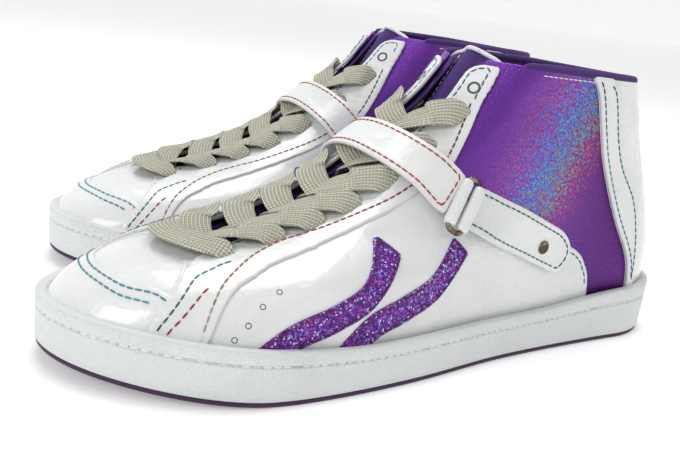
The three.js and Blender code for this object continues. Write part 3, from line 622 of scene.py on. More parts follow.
front_part = pattern([*FRONT_EDGE, (-76, 60), (-170, 60), (-170, -6)])
cap_part = to_polygon([*TOE_ARC, (-104, -90), (-180, -90), (-180, 90), (-104, 90)],
                      x_grid, y_grid)
quarter_part = pattern([*QUARTER_TOP, (-170, -6), (-170, 100), (-14, 100)])
heel_part = pattern([*HEEL_EDGE, (180, -6), (180, 114)])
stay_part = pattern([*STAY_FRONT, (-90, 50), (-60, 70), (-20, 100), (5, 140), (34, 140),
                     (31, 112), *STAY_BACK])
strip_part = pattern([*HEEL_EDGE, *STRIP_REAR[::-1]])
white = (patent, "white_patent")
# how far the outer face of each layer stands over the form
OUTER = {"foil": -0.35, "vamp": 0.0, "heel": 0.1, "quarter": 0.45, "cap": 0.75, "band": 1.15,
         "strip": 1.25, "stay": 1.55}

cap_inside = np.minimum(np.minimum(front_part + 3, cap_part), beside_slot)
vamp_inside = np.minimum(np.minimum(front_part + 3, 4 - cap_part), beside_slot)
panel("toe_cap_leather", cap_inside, OUTER["cap"], 1.3, *white, ["toe_cap"])
panel("vamp_leather", vamp_inside, OUTER["vamp"], 1.2, *white, ["vamp"])
heel_inside = np.minimum(heel_part, below_collar)
panel("heel_counter_leather", heel_inside, OUTER["heel"], 1.2, *white,
      ["heel_counter"])
stay_inside, strip_inside, quarter_inside = {}, {}, {}
for side, mark in one_side.items():
    quarter_inside[side] = np.minimum.reduce([quarter_part, 4 - front_part, beside_slot - 7, mark])
    panel(f"quarter_{side}_leather", quarter_inside[side], OUTER["quarter"], 1.4, *white,
          [f"quarter_{side}"])
    stay_top = rounded_corner(beside_slot, below_collar - 3, 6)
    stay_inside[side] = np.minimum.reduce([stay_part, mark, stay_top])
    strip_inside[side] = np.minimum.reduce([strip_part, mark, below_collar])

foil = Finish("purple_holographic_foil", Metallic=0.72)
foil_uv = foil.node("UVMap", {"uv_map": "cloth"})
foil_x, foil_z, _ = (foil.node("SeparateXYZ", {}, foil_uv, out=k) for k in range(3))
# The rainbow streak and its glints are painted into the base colour: a fixed painted reflection
# across the panel, over a purple that is darker towards the heel.
streak = foil_x * 0.86 - foil_z * 0.5
scatter = foil.noise(900.0, 2.0)
hue = (streak + 0.035) * 14 + (scatter - 0.5) * 1.1
painted_rainbow_reflection = foil.node("ValToRGB", {"stops": (
    (0.0, (0.22, 0.06, 0.42)), (0.16, (0.42, 0.16, 0.36)), (0.3, (0.62, 0.16, 0.22)),
    (0.42, (0.07, 0.10, 0.80)), (0.52, (0.05, 0.48, 0.85)), (0.6, (0.08, 0.55, 0.25)),
    (0.68, (0.60, 0.08, 0.10)), (0.8, (0.34, 0.03, 0.26)), (1.0, (0.12, 0.012, 0.22)))}, hue)
painted_glint = foil.cells(2100.0, "Color").within(0.3, 0.85)
brushed = foil.noise(420.0, 4.0, distortion=2.0)
painted_reflection_band = (1 - abs(streak - 0.004).within(0.008, 0.034)) * foil_z.within(0.030, 0.062)
purple = foil.mix(foil_x.within(0.02, 0.09), (0.165, 0.04, 0.36), (0.10, 0.012, 0.18))
foil.set(Base_Color=foil.mix((painted_glint * 0.75 + 0.2) * painted_reflection_band, purple, painted_rainbow_reflection),
         Roughness=brushed * 0.28 + 0.22)
foil.bump(brushed * 0.6 + foil.cells(1300.0) * 0.5, 0.0006, 0.55)

for side, mark in one_side.items():
    collar_inside = np.minimum.reduce([5 - quarter_part, 5 - heel_part, beside_slot - 3, mark,
                                       below_collar + 0.4])
    panel(f"collar_{side}_foil", collar_inside, OUTER["foil"], 0.8, foil, "holographic_foil",
          [f"collar_panel_{side}"])
for side in sides:
    panel(f"heel_strip_{side}_leather", strip_inside[side], OUTER["strip"], 1.2, *white,
          [f"heel_strip_{side}"])
    panel(f"eyestay_{side}_leather", stay_inside[side], OUTER["stay"], 1.3, *white,
          [f"eyestay_{side}"])

# ------------------------------------------------------------------ glitter bands
# Two plain curved bands of glitter film on cloth on each side, stitched along their edges to the
# quarter and running down to the sole.
glitter = Finish("purple_glitter_film", Metallic=0.6)
flake = glitter.cells(1700.0, "Color")
flake_tone = glitter.node("SeparateColor", {}, flake, out=0)
sparkle = glitter.node("SeparateColor", {}, flake, out=1)
base = glitter.node("ValToRGB", {"stops": ((0.0, (0.05, 0.006, 0.14)), (0.45, (0.13, 0.02, 0.32)),
                                           (0.72, (0.24, 0.035, 0.42)), (0.88, (0.48, 0.12, 0.50)),
                                           (1.0, (0.16, 0.32, 0.85)))}, flake_tone)
# The rare pale flakes are painted glints, laid into the base colour over the flakes' own purples.
glitter.set(Base_Color=glitter.mix(sparkle.within(0.93, 0.97), base, (0.80, 0.70, 0.95)),
            Roughness=sparkle * 0.3 + 0.25)
glitter.bump(glitter.cells(1700.0), 0.0006, 0.8)
BANDS = {"front": [(-86, 4), (-74, 13), (-58, 18), (-44, 24), (-32, 38)],
         "rear": [(-54, 4), (-42, 13), (-26, 18), (-12, 24), (0, 37)]}
BAND_HALF = 4.5
band_inside = {}
for place, centre in BANDS.items():
    line = smoothed(centre, 12)
    run = unit(np.gradient(line, axis=0))
    beside = run[:, ::-1] * (-1, 1) * BAND_HALF
    outline_2d = np.vstack([line + beside, (line - beside)[::-1]])
    for side, mark in one_side.items():
        band_inside[place, side] = np.minimum(pattern(outline_2d), mark)
        panel(f"glitter_{place}_{side}", band_inside[place, side], OUTER["band"], 0.65, glitter,
              "purple_glitter", [f"glitter_band_{place}_{side}"], roll=0.35)

# ------------------------------------------------------------------ collar binding and tongue
# A rolled purple binding sewn over the collar, and a padded mesh tongue with a pale piped edge
# and two rows of white stitches, which stands up through the throat.
ROLL_SIDES = 16
turn = np.linspace(0.11, 0.89, 280)
rim_point, rim_normal = last_skin(np.full(turn.shape, 10.0), turn)
binding_rings = []
upward_dir = unit(last_point(10.1, turn) - last_point(9.9, turn))
for i, (p, n, u) in enumerate(zip(rim_point, rim_normal, upward_dir)):
    ends = min(i, len(turn) - 1 - i) / 5
    size = math.sqrt(max(1 - (1 - min(ends, 1)) ** 2, 0.02))
    ring = []
    for k in range(ROLL_SIDES):
        angle = 2 * math.pi * k / ROLL_SIDES
        ring.append(p - n * 1.4 + u * 0.5 + n * 1.7 * size * math.cos(angle)
                    + u * 1.8 * size * math.sin(angle))
    binding_rings.append(ring)
binding_points = np.array(binding_rings).reshape(-1, 3)


def tube_faces(rings, sides_round):
    faces = ring_faces(rings, sides_round, closed=False)
    faces.append(list(range(sides_round))[::-1])
    faces.append([(rings - 1) * sides_round + k for k in range(sides_round)])
    return faces


def facing_out(points, faces):
    """Turns every face round if the closed mesh is inside out."""
    points = np.asarray(points, float)
    volume = 0.0
    for face in faces:
        a = points[face[0]]
        for b, c in zip(face[1:-1], face[2:]):
            volume += a @ np.cross(points[b], points[c])
    return faces if volume > 0 else [f[::-1] for f in faces]


binding_uv = np.stack([np.repeat(np.arange(len(turn)), ROLL_SIDES),
                       np.tile(np.arange(ROLL_SIDES) * 0.9, len(turn))], -1)
binding = mesh_piece("collar_binding_roll", binding_points,
                     facing_out(binding_points, tube_faces(len(turn), ROLL_SIDES)), binding_uv,
                     "shoe", mesh_cloth, ["collar_binding"])


def front_turn(level, y):
    """The turn at which the front of a level crosses y."""
    low, high = np.full(np.shape(y), -0.25), np.full(np.shape(y), 0.25)
    for _ in range(26):
        middle = (low + high) / 2
        above = last_point(level, middle)[..., 1] > y
        low, high = np.where(above, middle, low), np.where(above, high, middle)
    return low


def on_front(level, y, lift):
    level, y, lift = np.broadcast_arrays(*(np.asarray(v, float) for v in (level, y, lift)))
    point, normal = last_skin(level, front_turn(level, y))
    return point + normal * lift[..., None]


def smoothstep(value, low, high):
    share = np.clip((np.asarray(value, float) - low) / (high - low), 0, 1)
    return share * share * (3 - 2 * share)


def slot_half(level):
    return SLOT_HALF + SLOT_FLARE * level / COLLAR


def tongue_rise(level, y):
    """How far the padding swells out under the collar, and more in the throat."""
    in_throat = np.clip(1 - (y / (slot_half(level) - 1)) ** 2, 0, 1) ** 1.5
    return (2.2 + 2.6 * in_throat) * smoothstep(level, 7.5, 10)


LACE_UNDER, TONGUE_WIDTH, TONGUE_TOP, TONGUE_PAD = -4.5, 50, 37, 4.2
TONGUE_FOOT, TONGUE_LEVELS, ACROSS = 3.1, 7.3, 41
stations = np.concatenate([np.linspace(TONGUE_FOOT, 9.6, 56), np.linspace(9.65, 10.38, 16)])
breadth = np.linspace(-1, 1, ACROSS)
tongue_rings, tongue_uv = [], []
for level in stations:
    share = (level - TONGUE_FOOT) / TONGUE_LEVELS
    taper = math.sqrt(max(1 - np.clip((share - 0.9) / 0.1, 0, 1) ** 2, 0.06))
    waist = 1 + (TONGUE_TOP / TONGUE_WIDTH - 1) * smoothstep(level, 7, 9.5)
    half = TONGUE_WIDTH / 2 * min(0.8 + 0.6 * share, 1) * waist * taper
    seat = -6.0 + 2.6 * np.clip(1 - share * 13, 0, 1)
    y = breadth * half
    rise = tongue_rise(level, y)
    channel = 0.35 * (np.exp(-((np.abs(y) - 9) / 1.2) ** 2)) * smoothstep(level, 8, 9)
    puff = TONGUE_PAD * (1 - np.abs(breadth) ** 5) * (0.55 + 0.45 * smoothstep(level, 5, 9)) + 0.5
    top = on_front(level, y, seat + rise - channel)
    under = on_front(level, y, seat + rise - puff)
    tongue_rings.append(np.vstack([top, under[::-1]]))
    run = np.full(ACROSS, share * 160)
    tongue_uv.append(np.stack([np.concatenate([y, y[::-1] + 60]), np.tile(run, 2)], -1))
tongue_points = np.vstack(tongue_rings)
tongue = mesh_piece("tongue_pad", tongue_points,
                    facing_out(tongue_points, tube_faces(len(stations), 2 * ACROSS)),
                    np.vstack(tongue_uv), "shoe", mesh_cloth, ["tongue"])


def sweep(path, ups, section, closed=False):
    """A section of (out, up) offsets along a path; section may change along it."""
    path, ups = np.asarray(path, float), np.asarray(ups, float)
    run = unit(np.roll(path, -1, 0) - np.roll(path, 1, 0)) if closed \
        else unit(np.gradient(path, axis=0))
    ups = unit(ups - run * np.sum(ups * run, -1, keepdims=True))
    out = np.cross(run, ups)
    section = np.asarray(section, float)
    if section.ndim == 2:
        section = np.tile(section, (len(path), 1, 1))
    points = path[:, None] + out[:, None] * section[..., :1] + ups[:, None] * section[..., 1:]
    sides_round = section.shape[1]
    faces = ring_faces(len(path), sides_round) if closed else tube_faces(len(path), sides_round)
    points = points.reshape(-1, 3)
    gaps = np.linalg.norm(np.diff(path, axis=0), axis=1)
    length = np.repeat(np.concatenate([[0], np.cumsum(gaps)]), sides_round)
    uv = np.stack([length, section[..., 0].ravel()], -1)
    return points, facing_out(points, faces), uv


def circle(radius, count=10, squash=1.0):
    angle = 2 * np.pi * np.arange(count) / count
    return np.stack([radius * np.cos(angle), radius * squash * np.sin(angle)], -1)


piping_cloth = Finish("white_piping", Roughness=0.7)
piping_cloth.set(Base_Color=piping_cloth.mix(piping_cloth.noise(200.0), (0.78, 0.75, 0.80),
                                             (0.85, 0.84, 0.87)))
piping_cloth.bump(piping_cloth.noise(2500.0), 0.0003, 0.5)
edge_rows = [k for k, level in enumerate(stations) if level > 7.4]
left_edge = [tongue_rings[k][ACROSS - 1] for k in edge_rows]
over_top = [tongue_rings[-1][k] for k in range(ACROSS - 2, 0, -1)]
right_edge = [tongue_rings[k][0] for k in edge_rows[::-1]]
piping_path = np.array(left_edge + over_top + right_edge)
middle = np.array([np.mean(tongue_rings[k], axis=0) for k in edge_rows])
inward = [middle, np.tile(middle[-1], (len(over_top), 1)), middle[::-1]]
piping_ups = unit(piping_path - np.vstack(inward))
points, faces, uv = sweep(piping_path, piping_ups, circle(0.85))
mesh_piece("tongue_piping", points, faces, uv, "shoe", piping_cloth)

# ------------------------------------------------------------------ laces
# Flat woven cotton laces with ribs along them, criss-crossed through seven rows of eyelets. Each
# crossing swells like a leaf between the eyelets that squeeze it.
EYELETS = (3.8, 4.55, 5.2, 5.8, 6.4, 7.1, 7.8, 8.7)
LACED_ROWS, EYELET_INSET = 7, 8.5
LACE_OVER, LACE_HALF, LACE_SIDES = 3.3, 5.7, 28
cotton = Finish("ribbed_lace_cotton", Roughness=0.9)
lace_uv = cotton.node("UVMap", {"uv_map": "cloth"})
lace_run, lace_side, _ = (cotton.node("SeparateXYZ", {}, lace_uv, out=k) for k in range(3))
ribs = (lace_side * 4600).sine().within(-0.8, 0.9)
picks = (lace_run * 5200 + ribs * 1.5).sine()
# The grooves between the ribs and picks are painted darker: painted shade in the hollows of the
# weave, over the beige of the cotton.
cotton.set(Base_Color=cotton.mix(ribs * 0.65 + picks.within(-0.6, 0.9) * 0.35,
                                 (0.43, 0.42, 0.32), (0.80, 0.79, 0.67)))
cotton.bump(ribs + picks * 0.45, 0.0007, 0.9)


def eyelet_y(row):
    return slot_half(EYELETS[row]) + EYELET_INSET


def lace_crossing(row, sign):
    """From under one eyelet, out through the throat, and over to the eyelet of the next row."""
    low, high = EYELETS[row], EYELETS[row + 1]
    start, end = sign * eyelet_y(row), -sign * eyelet_y(row + 1)
    rise = high - low
    edge = slot_half(high)
    return [(low, start, LACE_UNDER, 0.22), (low + 0.08 * rise, start - 3 * sign, LACE_UNDER, 0.5),
            (low + 0.22 * rise, sign * edge, LACE_UNDER, 0.8),
            (low + 0.38 * rise, sign * edge * 0.5, -1.2, 0.9),
            (low + 0.52 * rise, -sign * edge * 0.3, 1.8, 0.95),
            (low + 0.66 * rise, -sign * edge, LACE_OVER + 0.5, 1.0),
            (low + 0.8 * rise, end + 6 * sign, LACE_OVER + 0.9, 1.05),
            (low + 0.92 * rise, end + 2.4 * sign, LACE_OVER + 0.8, 0.95),
            (low + 0.98 * rise, end + 0.2 * sign, 2.6, 0.7), (high, end - 0.7 * sign, 1.3, 0.42),
            (high + 0.02, end - 0.7 * sign, -0.4, 0.2)]


def lace_half(sign, beginning):
    stops = list(beginning)
    for row in range(LACED_ROWS - 1):
        stops += lace_crossing(row, -sign if row % 2 else sign)
    level, y = stops[-1][:2]
    stops += [(level + 0.05, y - 2 * np.sign(y), LACE_UNDER + 0.4, 0.3),
              (level + 0.15, y - 8 * np.sign(y), LACE_UNDER + 0.2, 0.6)]
    stops = np.array(stops)
    anchors = on_front(stops[:, 0], stops[:, 1], stops[:, 2])
    steps = 9 * (len(stops) - 1) + 1
    place = np.linspace(0, 1, steps)
    path = curve(anchors, place)
    spread = np.clip(curve(stops[:, 3:], place)[:, 0], 0.18, 1.2)
    turn = front_turn(stops[:, 0], stops[:, 1])
    climb = unit(last_point(stops[:, 0] + 0.1, turn) - last_point(stops[:, 0] - 0.1, turn))
    climb = curve(climb, place)
    path[1:-1] = (path[:-2] + 2 * path[1:-1] + path[2:]) / 4
    run = unit(np.gradient(path, axis=0))
    climb = unit(climb - run * np.sum(climb * run, -1, keepdims=True))
    ups = np.cross(climb, run)
    angle = 2 * np.pi * np.arange(LACE_SIDES) / LACE_SIDES
    outs = np.sign(np.cos(angle)) * np.abs(np.cos(angle)) ** 0.8 * LACE_HALF
    rise = np.sign(np.sin(angle)) * np.abs(np.sin(angle)) ** 0.5 * (0.5 + 0.07 * np.cos(
        np.arange(LACE_SIDES) * np.pi))
    section = np.stack([spread[:, None] * outs, np.broadcast_to(rise, (steps, LACE_SIDES))
                        * (1.6 - 0.6 * np.clip(spread[:, None], 0, 1))], -1)
    return sweep(path, ups, section)


first = EYELETS[0]
front_bar = [(first, -eyelet_y(0) + 0.5, -2.5, 0.25), (first, -eyelet_y(0), 1.0, 0.3),
             (first, -eyelet_y(0) + 3, LACE_OVER, 0.8), (first, -8, LACE_OVER + 0.9, 1),
             (first, 0, LACE_OVER + 0.9, 1), (first, 8, LACE_OVER + 0.9, 1),
             (first, eyelet_y(0) - 3, LACE_OVER, 0.8), (first, eyelet_y(0), 1.0, 0.3)]
for label, sign, beginning in (("a", -1, []), ("b", 1, front_bar)):
    points, faces, uv = lace_half(sign, beginning)
    mesh_piece(f"lace_{label}", points, faces, uv, "shoe", cotton,
               ["lace"] if label == "a" else [])

# ------------------------------------------------------------------ strap, ring and flap
# A white strap is sewn to the medial side, crosses the laces and folds round the front bar of a
# bronze ring. The flap folds round its rear bar and closes on the quarter with hook and loop.
STRAP_THICK, STRAP_LIFT, STRAP_OVER, STRAP_WIDTH = 1.3, 3.85, 5.4, 18
HOOK_THICK = 0.8
FLAP_SEAT = 2 * (0.3 + HOOK_THICK) + 0.3
joints = {j["name"]: j for j in frame["record"]["behaviour"]["joints"]}


def in_left_shoe(joint):
    return np.array(joints[joint]["pos_m"]) * 1000 - np.array(FEET["left"][0])


front_bar_mid, rear_bar_mid = in_left_shoe("left_ring_swing"), in_left_shoe("left_flap_swing")
bar = unit(-np.array(joints["left_ring_swing"]["axis"]))
back = unit(rear_bar_mid - front_bar_mid)
ring_up = unit(np.cross(back, bar))
if ring_up[1] > 0:
    ring_up = -ring_up


def bar_corners(centre, beyond=0.0):
    ends = [centre + bar * s * STRAP_WIDTH / 2 + back * beyond for s in (-1, 1)]
    return [(p[0], p[2] - FEATHER) for p in ends]


over = [(-26, 100), (-50, 100), (-34, 78), (-23.5, 60)]
strap_side = {"lateral": pattern([*over, *bar_corners(front_bar_mid, -0.3), (-12, 71)]),
              "medial": pattern([*over, (-13, 45), (2, 33), (18, 23.5), (22, 24), (27.5, 37),
                                 (26.5, 40.5), (10, 51), (-3, 60.5), (-12, 71)])}
strap_inside = np.where(turn_grid < 0.5, strap_side["lateral"], strap_side["medial"])
strap_inside = np.where(deep & (y_grid < 0), -50, strap_inside)


def strap_top(level, turn, point):
    sewn = np.where(turn % 1 > 0.5, smoothstep(point[:, 0], -8, 12), 0)
    over_laces = smoothstep(-np.abs(point[:, 1]), -28, -22)
    lift = STRAP_LIFT + (STRAP_OVER - STRAP_LIFT) * over_laces
    return lift + (0.45 - lift) * sewn + STRAP_THICK


panel("instep_strap_leather", strap_inside, strap_top, STRAP_THICK, *white, ["instep_strap"],
      roll=0.5)
FLAP_TIP = [(30, 49.5), (46, 43.5), (54, 40), (59, 35.5), (60.5, 31), (58.5, 26), (54, 23),
            (49, 24), (30, 31.5)]
low_end, high_end = bar_corners(rear_bar_mid, 0.3)
flap_outline = [high_end, *smoothed(FLAP_TIP, 5), low_end]
flap_inside = np.minimum(pattern(flap_outline), one_side["lateral"])


def flap_top(level, turn, point):
    return STRAP_LIFT + (FLAP_SEAT - STRAP_LIFT) * smoothstep(point[:, 0], 4, 22) + STRAP_THICK


panel("flap_leather", flap_inside, flap_top, STRAP_THICK, *white, ["strap_flap"], body="flap",
      roll=0.5)

bronze = Finish("antique_bronze", Metallic=0.95)
worn = bronze.noise(350.0, 3.0).within(0.4, 0.65)
bronze.set(Base_Color=bronze.mix(worn, (0.10, 0.07, 0.05), (0.34, 0.27, 0.20)),
           Roughness=0.45 - worn * 0.2)
bronze.bump(bronze.noise(1200.0), 0.0002, 0.4)
WIRE = 1.0
long_half, short_half, bend = STRAP_WIDTH / 2 + 0.5 + WIRE, 2.8, 1.9
ring_path = []
for cx, cy, start in ((1, 1, 0), (-1, 1, 90), (-1, -1, 180), (1, -1, 270)):
    for k in range(9):
        angle = math.radians(start + k * 11.25)
        ring_path.append((cx * (long_half - bend) + bend * math.cos(angle),
                          cy * (short_half - bend) + bend * math.sin(angle)))
ring_mid = (front_bar_mid + rear_bar_mid) / 2
ring_path = np.array([ring_mid + bar * a + back * b for a, b in ring_path])
points, faces, uv = sweep(ring_path, np.tile(ring_up, (len(ring_path), 1)), circle(WIRE, 12), True)
mesh_piece("ring_wire", points, faces, uv, "ring", bronze, ["strap_ring"])

for name, centre, body in (("strap_fold", front_bar_mid, "shoe"), ("flap_fold", rear_bar_mid,
                                                                   "flap")):
    reach = np.linspace(-STRAP_WIDTH / 2, STRAP_WIDTH / 2, 19)
    path = centre + bar * reach[:, None]
    section = np.array([circle(2.35 - 0.35 * (abs(r) > STRAP_WIDTH / 2 - 0.4), 24) for r in reach])
    points, faces, uv = sweep(path, np.tile(ring_up, (19, 1)), section)
    mesh_piece(name, points, faces, uv, body, patent,
               shade=np.full(len(points), 4.0))

RIVET_PLACE, BUTTON_SIDES = (42.5, 34.5), 24


def spot(x, height, side):
    """The form's point and normal nearest to a point of the side pattern."""
    miss = np.hypot(x_grid - x, height_grid - height) + np.where(sides[side], 0, 1e6)
    i, j = np.unravel_index(np.argmin(miss), miss.shape)
    return skin_grid[i, j], normal_grid[i, j]


def button(name, place, side, profile, finish, body, nodes=()):
    """A small turned piece standing on the upper; profile is radius and height."""
    bpy.ops.mesh.primitive_circle_add(vertices=BUTTON_SIDES, radius=1, fill_type="NOTHING")
    blank = bpy.context.object
    spots = np.array([v.co[:] for v in blank.data.vertices])
    bpy.data.objects.remove(blank)
    foot_point, out = spot(*place, side)
    along = unit(np.cross(out, (0, 0, 1.0)))
    other = np.cross(out, along)
    rings = [foot_point + (along * spots[:, :1] + other * spots[:, 1:2]) * r + out * z
             for r, z in profile]
    points = np.vstack(rings)
    faces = facing_out(points, tube_faces(len(profile), BUTTON_SIDES))
    mesh_piece(name, points, faces, points[:, [0, 2]], body, finish, nodes)


top = FLAP_SEAT + STRAP_THICK
button("flap_rivet_cap", RIVET_PLACE, "lateral",
       [(1.2, 1.4), (1.2, top), (2.6, top + 0.05), (2.75, top + 0.25), (2.6, top + 0.6),
        (2.1, top + 0.95), (1.7, top + 1.0), (1.2, top + 0.75), (0.6, top + 0.7),
        (0.1, top + 0.72)], bronze, "flap", ["flap_rivet"])

fuzz = Finish("grey_hook_and_loop", Roughness=0.95)
pile = fuzz.noise(2600.0, 3.0)
fuzz.set(Base_Color=fuzz.mix(pile, (0.16, 0.17, 0.18), (0.45, 0.46, 0.47)))
fuzz.bump(pile, 0.0012, 0.9)
HOOK_OUTLINE = [(21, 38), (24, 47), (40, 41.5), (52, 36), (54, 31), (51, 28), (40, 31.5)]
hook_inside = np.minimum(pattern(HOOK_OUTLINE), one_side["lateral"])
panel("loop_tape", hook_inside + 0.6, 1.15, HOOK_THICK, fuzz, "hook_and_loop", ["loop_patch"],
      roll=0.3)
panel("hook_tape", hook_inside + 0.4, 2.25, HOOK_THICK, fuzz, "hook_and_loop", ["hook_patch"],
      body="flap", roll=0.3)

# ------------------------------------------------------------------ stitching
# Variegated thread, sewn in straight rows a couple of millimetres inside the cut edges. Every
# stitch is a small bead of thread; its shade runs from teal by dark red to olive along the seam.
STITCH, THREAD = 2.9, 0.36
STAY_SEAM, STRIP_SEAM, BAND_SEAM, CAP_SEAM, QUARTER_SEAM = 1.6, 1.3, 1.2, 0.85, 0.5
thread = Finish("variegated_thread", Roughness=0.5)
shade = thread.node("Attribute", {"attribute_name": "shade"}, out=2)
thread.set(Base_Color=thread.node("ValToRGB", {"stops": (
    (0.0, (0.004, 0.045, 0.06)), (0.14, (0.01, 0.12, 0.15)), (0.28, (0.05, 0.28, 0.35)),
    (0.42, (0.008, 0.012, 0.03)), (0.55, (0.13, 0.006, 0.012)), (0.68, (0.34, 0.012, 0.016)),
    (0.8, (0.36, 0.06, 0.02)), (0.9, (0.24, 0.17, 0.06)), (1.0, (0.86, 0.86, 0.88)))}, shade))
bpy.ops.mesh.primitive_uv_sphere_add(segments=6, ring_count=5, radius=1)
bead = bpy.context.object
bead_points = np.array([v.co[:] for v in bead.data.vertices])[:, [2, 0, 1]]
bead_faces = [list(p.vertices) for p in bead.data.polygons]
bpy.data.objects.remove(bead)
bead_faces = facing_out(bead_points, bead_faces)


def sewn_path(inside, inset, keep):
    """The stretches of the line a distance inside a panel's edge where keep holds."""
    level, turn, _, _, loops = trimmed(inside - inset)
    stretches = []
    for loop in map(np.array, loops):
        good = keep(last_point(level[loop], turn[loop]), level[loop])
        if good.all():
            stretches.append((level[loop], turn[loop]))
            continue
        order = np.roll(np.arange(len(loop)), -int(np.argmin(good)))
        runs = np.split(order, np.flatnonzero(np.diff(good[order])) + 1)
        stretches += [(level[loop[run]], turn[loop[run]]) for run in runs if good[run[0]]]
    return stretches


def stitches(paths, pitch, radius, shades):
    """Beads along paths of points and normals, as points, faces and shades."""
    points, faces, tones = [], [], []
    draw = np.random.default_rng(7)
    for point, normal in paths:
        gaps = np.linalg.norm(np.diff(point, axis=0), axis=1)
        reach = np.concatenate([[0], np.cumsum(gaps)])
        count = int(reach[-1] / pitch)
        if count < 2:
            continue
        for k, s in enumerate((np.arange(count) + 0.5) * reach[-1] / count):
            here = np.array([np.interp(s, reach, point[:, c]) for c in range(3)])
            out = unit(np.array([np.interp(s, reach, normal[:, c]) for c in range(3)]))
            ahead = np.array([np.interp(s + 1.2, reach, point[:, c]) for c in range(3)])
            before = np.array([np.interp(s - 1.2, reach, point[:, c]) for c in range(3)])
            run = unit(ahead - before)
            beside = np.cross(out, run)
            size = np.array([pitch * 0.47, radius, radius * 0.8])
            base = len(points) * len(bead_points)
            points.append(here + (bead_points * size) @ np.array([run, beside, out]))
            faces += [[base + c for c in f] for f in bead_faces]
            share = k / count
            tone = shades[0] + (shades[1] - shades[0]) * share + draw.normal(0, 0.02)
            tones.append(np.full(len(bead_points), np.clip(tone, 0, 1)))
    return points, faces, tones


def sew(name, rows, body="shoe"):
    """rows holds (paths, pitch, radius, shades) for one piece of stitching."""
    all_points, all_faces, all_tones = [], [], []
    for paths, pitch, radius, shades in rows:
        points, faces, tones = stitches(paths, pitch, radius, shades)
        base = len(all_points) * len(bead_points)
        all_points += points
        all_faces += [[base + c for c in f] for f in faces]
        all_tones += tones
    points = np.vstack(all_points)
    mesh_piece(name, points, all_faces, points[:, [0, 2]], body, thread,
               shade=np.concatenate(all_tones))


def raised(level, turn, lift):
    """Points over the form, and the normals there."""
    point, normal = last_skin(level, turn)
    rise = lift(level, turn, point) if callable(lift) else np.full(len(level), lift)
    return point + normal * rise[:, None], normal


def all_along(point, level):
    return level <= COLLAR


def above_sole(point, level):
    return point[:, 2] > np.interp(point[:, 0], *np.array(WALL_TOP).T) + 1.0


def seam(inside, inset, lift, shades, keep=all_along, pitch=STITCH, radius=THREAD):
    """A row of stitches along the edge of a panel."""
    paths = [raised(level, turn, lift) for level, turn in sewn_path(inside, inset, keep)]
    return paths, pitch, radius, shades


def locate(x, height):
    """Level and lateral turn of a point of the side pattern."""
    low, high = 0.0, 12.0
    for _ in range(30):
        mid = (low + high) / 2
        a, b = curve(RIDGE, mid / 12), curve(HEEL, mid / 12)
        cross = (b - a)[0] * (height - a[1]) - (b - a)[1] * (x - a[0])
        low, high = (mid, high) if cross > 0 else (low, mid)
    a, b = curve(RIDGE, low / 12), curve(HEEL, low / 12)
    along = np.clip(((x - a[0]) * (b - a)[0] + (height - a[1]) * (b - a)[1]) / ((b - a) @ (b - a)),
                    0, 1)
    return low, math.acos(1 - 2 * along) / (2 * math.pi)


def line_seam(line, side, lift, inset, shades):
    """A row of stitches along a line of the side pattern, moved inset to its right."""
    run = unit(np.gradient(line, axis=0))
    level, turn = np.array([locate(*place) for place in line + run[:, ::-1] * (1, -1) * inset]).T
    turn = turn if side == "lateral" else 1 - turn
    good = above_sole(last_point(level, turn), level) & (level < 9.85)
    return [raised(level[good], turn[good], lift)], STITCH, THREAD, shades


def throat_edge(point, level):
    """Beside the throat, short of the toe and of the stay's rounded top."""
    return (np.abs(point[:, 1]) < 16.5) & (point[:, 2] > 36) & (level < 9.6)


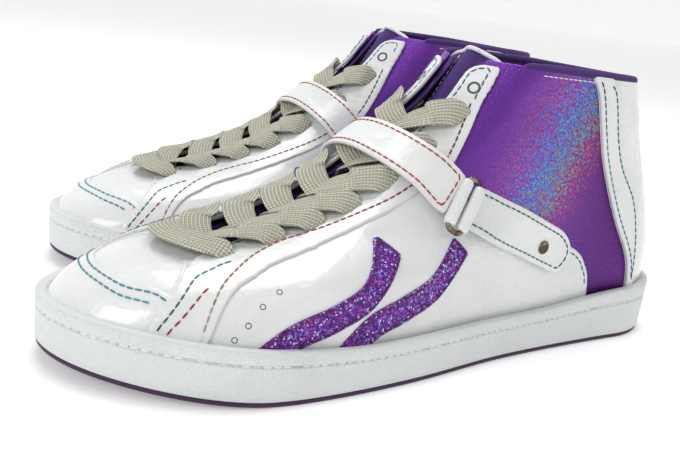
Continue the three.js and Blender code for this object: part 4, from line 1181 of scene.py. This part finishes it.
rows = []
for side in sides:
    rows += [
        line_seam(STAY_FRONT[6:], side, STAY_SEAM, 2.2, (0.02, 0.36)),
        line_seam(STAY_FRONT[6:21], side, STAY_SEAM, 4.6, (0.6, 0.7)),
        line_seam(STAY_BACK[6:], side, STAY_SEAM, 2.3, (0.45, 0.95)),
        line_seam(QUARTER_TOP[18:], side, QUARTER_SEAM, 2.2, (0.12, 0.25)),
        line_seam(HEEL_EDGE[:-3], side, STRIP_SEAM, -2.0, (0.42, 0.1)),
        line_seam(STRIP_REAR[:-3], side, STRIP_SEAM, 2.0, (0.05, 0.1)),
        seam(stay_inside[side], 2.0, STAY_SEAM, (0.1, 0.28), throat_edge, radius=0.34),
    ]
    rows += [seam(band_inside[place, side], 1.0, BAND_SEAM, (0.45, 0.55), above_sole, 2.2, 0.3)
             for place in BANDS]
for inset, shades in ((2.2, (0.24, 0.3)), (4.8, (0.28, 0.22))):
    rows.append(seam(cap_part, inset, CAP_SEAM, shades, lambda point, level:
                     above_sole(point, level) & (np.abs(point[:, 1] - 3) < 31 - inset)))
sew("upper_stitches", rows)
sew("strap_stitches", [seam(strap_inside, 2.0, lambda *at: strap_top(*at) + 0.05, (0.7, 0.8))])
sew("flap_stitches", [seam(flap_inside, 2.2, lambda *at: flap_top(*at) + 0.05, (0.05, 0.2))],
    body="flap")

groove = outline + outward * GROOVE_OUT
groove[:, 2] = low + (wall_height - low) * GROOVE_SHARE
whole_round = np.append(np.arange(ROUND), 0)
sew("wall_stitches", [([(groove[whole_round], outward[whole_round])], 3.4, THREAD, (1.0, 1.0))])

collar_row = raised(np.full(200, 9.72), np.linspace(0.15, 0.85, 200), 0.0)
tongue_rows = []
for y in (-9, 9):
    level = np.linspace(8.2, 10.2, 50)
    across = np.full(50, y)
    tongue_rows.append((on_front(level, across, tongue_rise(level, y) - 6.2),
                        last_skin(level, front_turn(level, across))[1]))
sew("white_stitches", [([collar_row], 2.4, 0.24, (1.0, 1.0)), (tongue_rows, 2.4, 0.28, (1.0, 1.0))])

# ------------------------------------------------------------------ vents
# Four small punched air holes low on the forefoot, and the unused top eyelet on each stay, which
# sits a little nearer the throat than the laced ones.
# Each vent and top eyelet is a dark disc on the upper, painted shade inside the hole; the eyelet's
# raised rim takes the same dark colour.
dark = Finish("painted_hole_shade", Roughness=0.9, Base_Color=(0.10, 0.10, 0.11))
for k, place in enumerate([(-92, 13), (-88, 17.5), (-83, 22), (-77, 26.5)]):
    button(f"vent_{k}", place, "lateral",
           [(1.0, 0.2), (1.0, 0.5), (0.75, 0.5), (0.7, 0.42), (0.05, 0.4)], dark,
           "shoe")
TOP_SHIFT = 2.8
for side in sides:
    y = (eyelet_y(LACED_ROWS) - TOP_SHIFT) * (-1 if side == "lateral" else 1)
    point = on_front(EYELETS[LACED_ROWS], y, 0.0)
    button(f"top_eyelet_{side}", (point[0], point[2] - FEATHER), side,
           [(2.4, 1.4), (2.5, 1.62), (2.1, 1.75), (1.7, 1.65), (1.5, 1.2), (0.05, 1.15)], dark,
           "shoe")
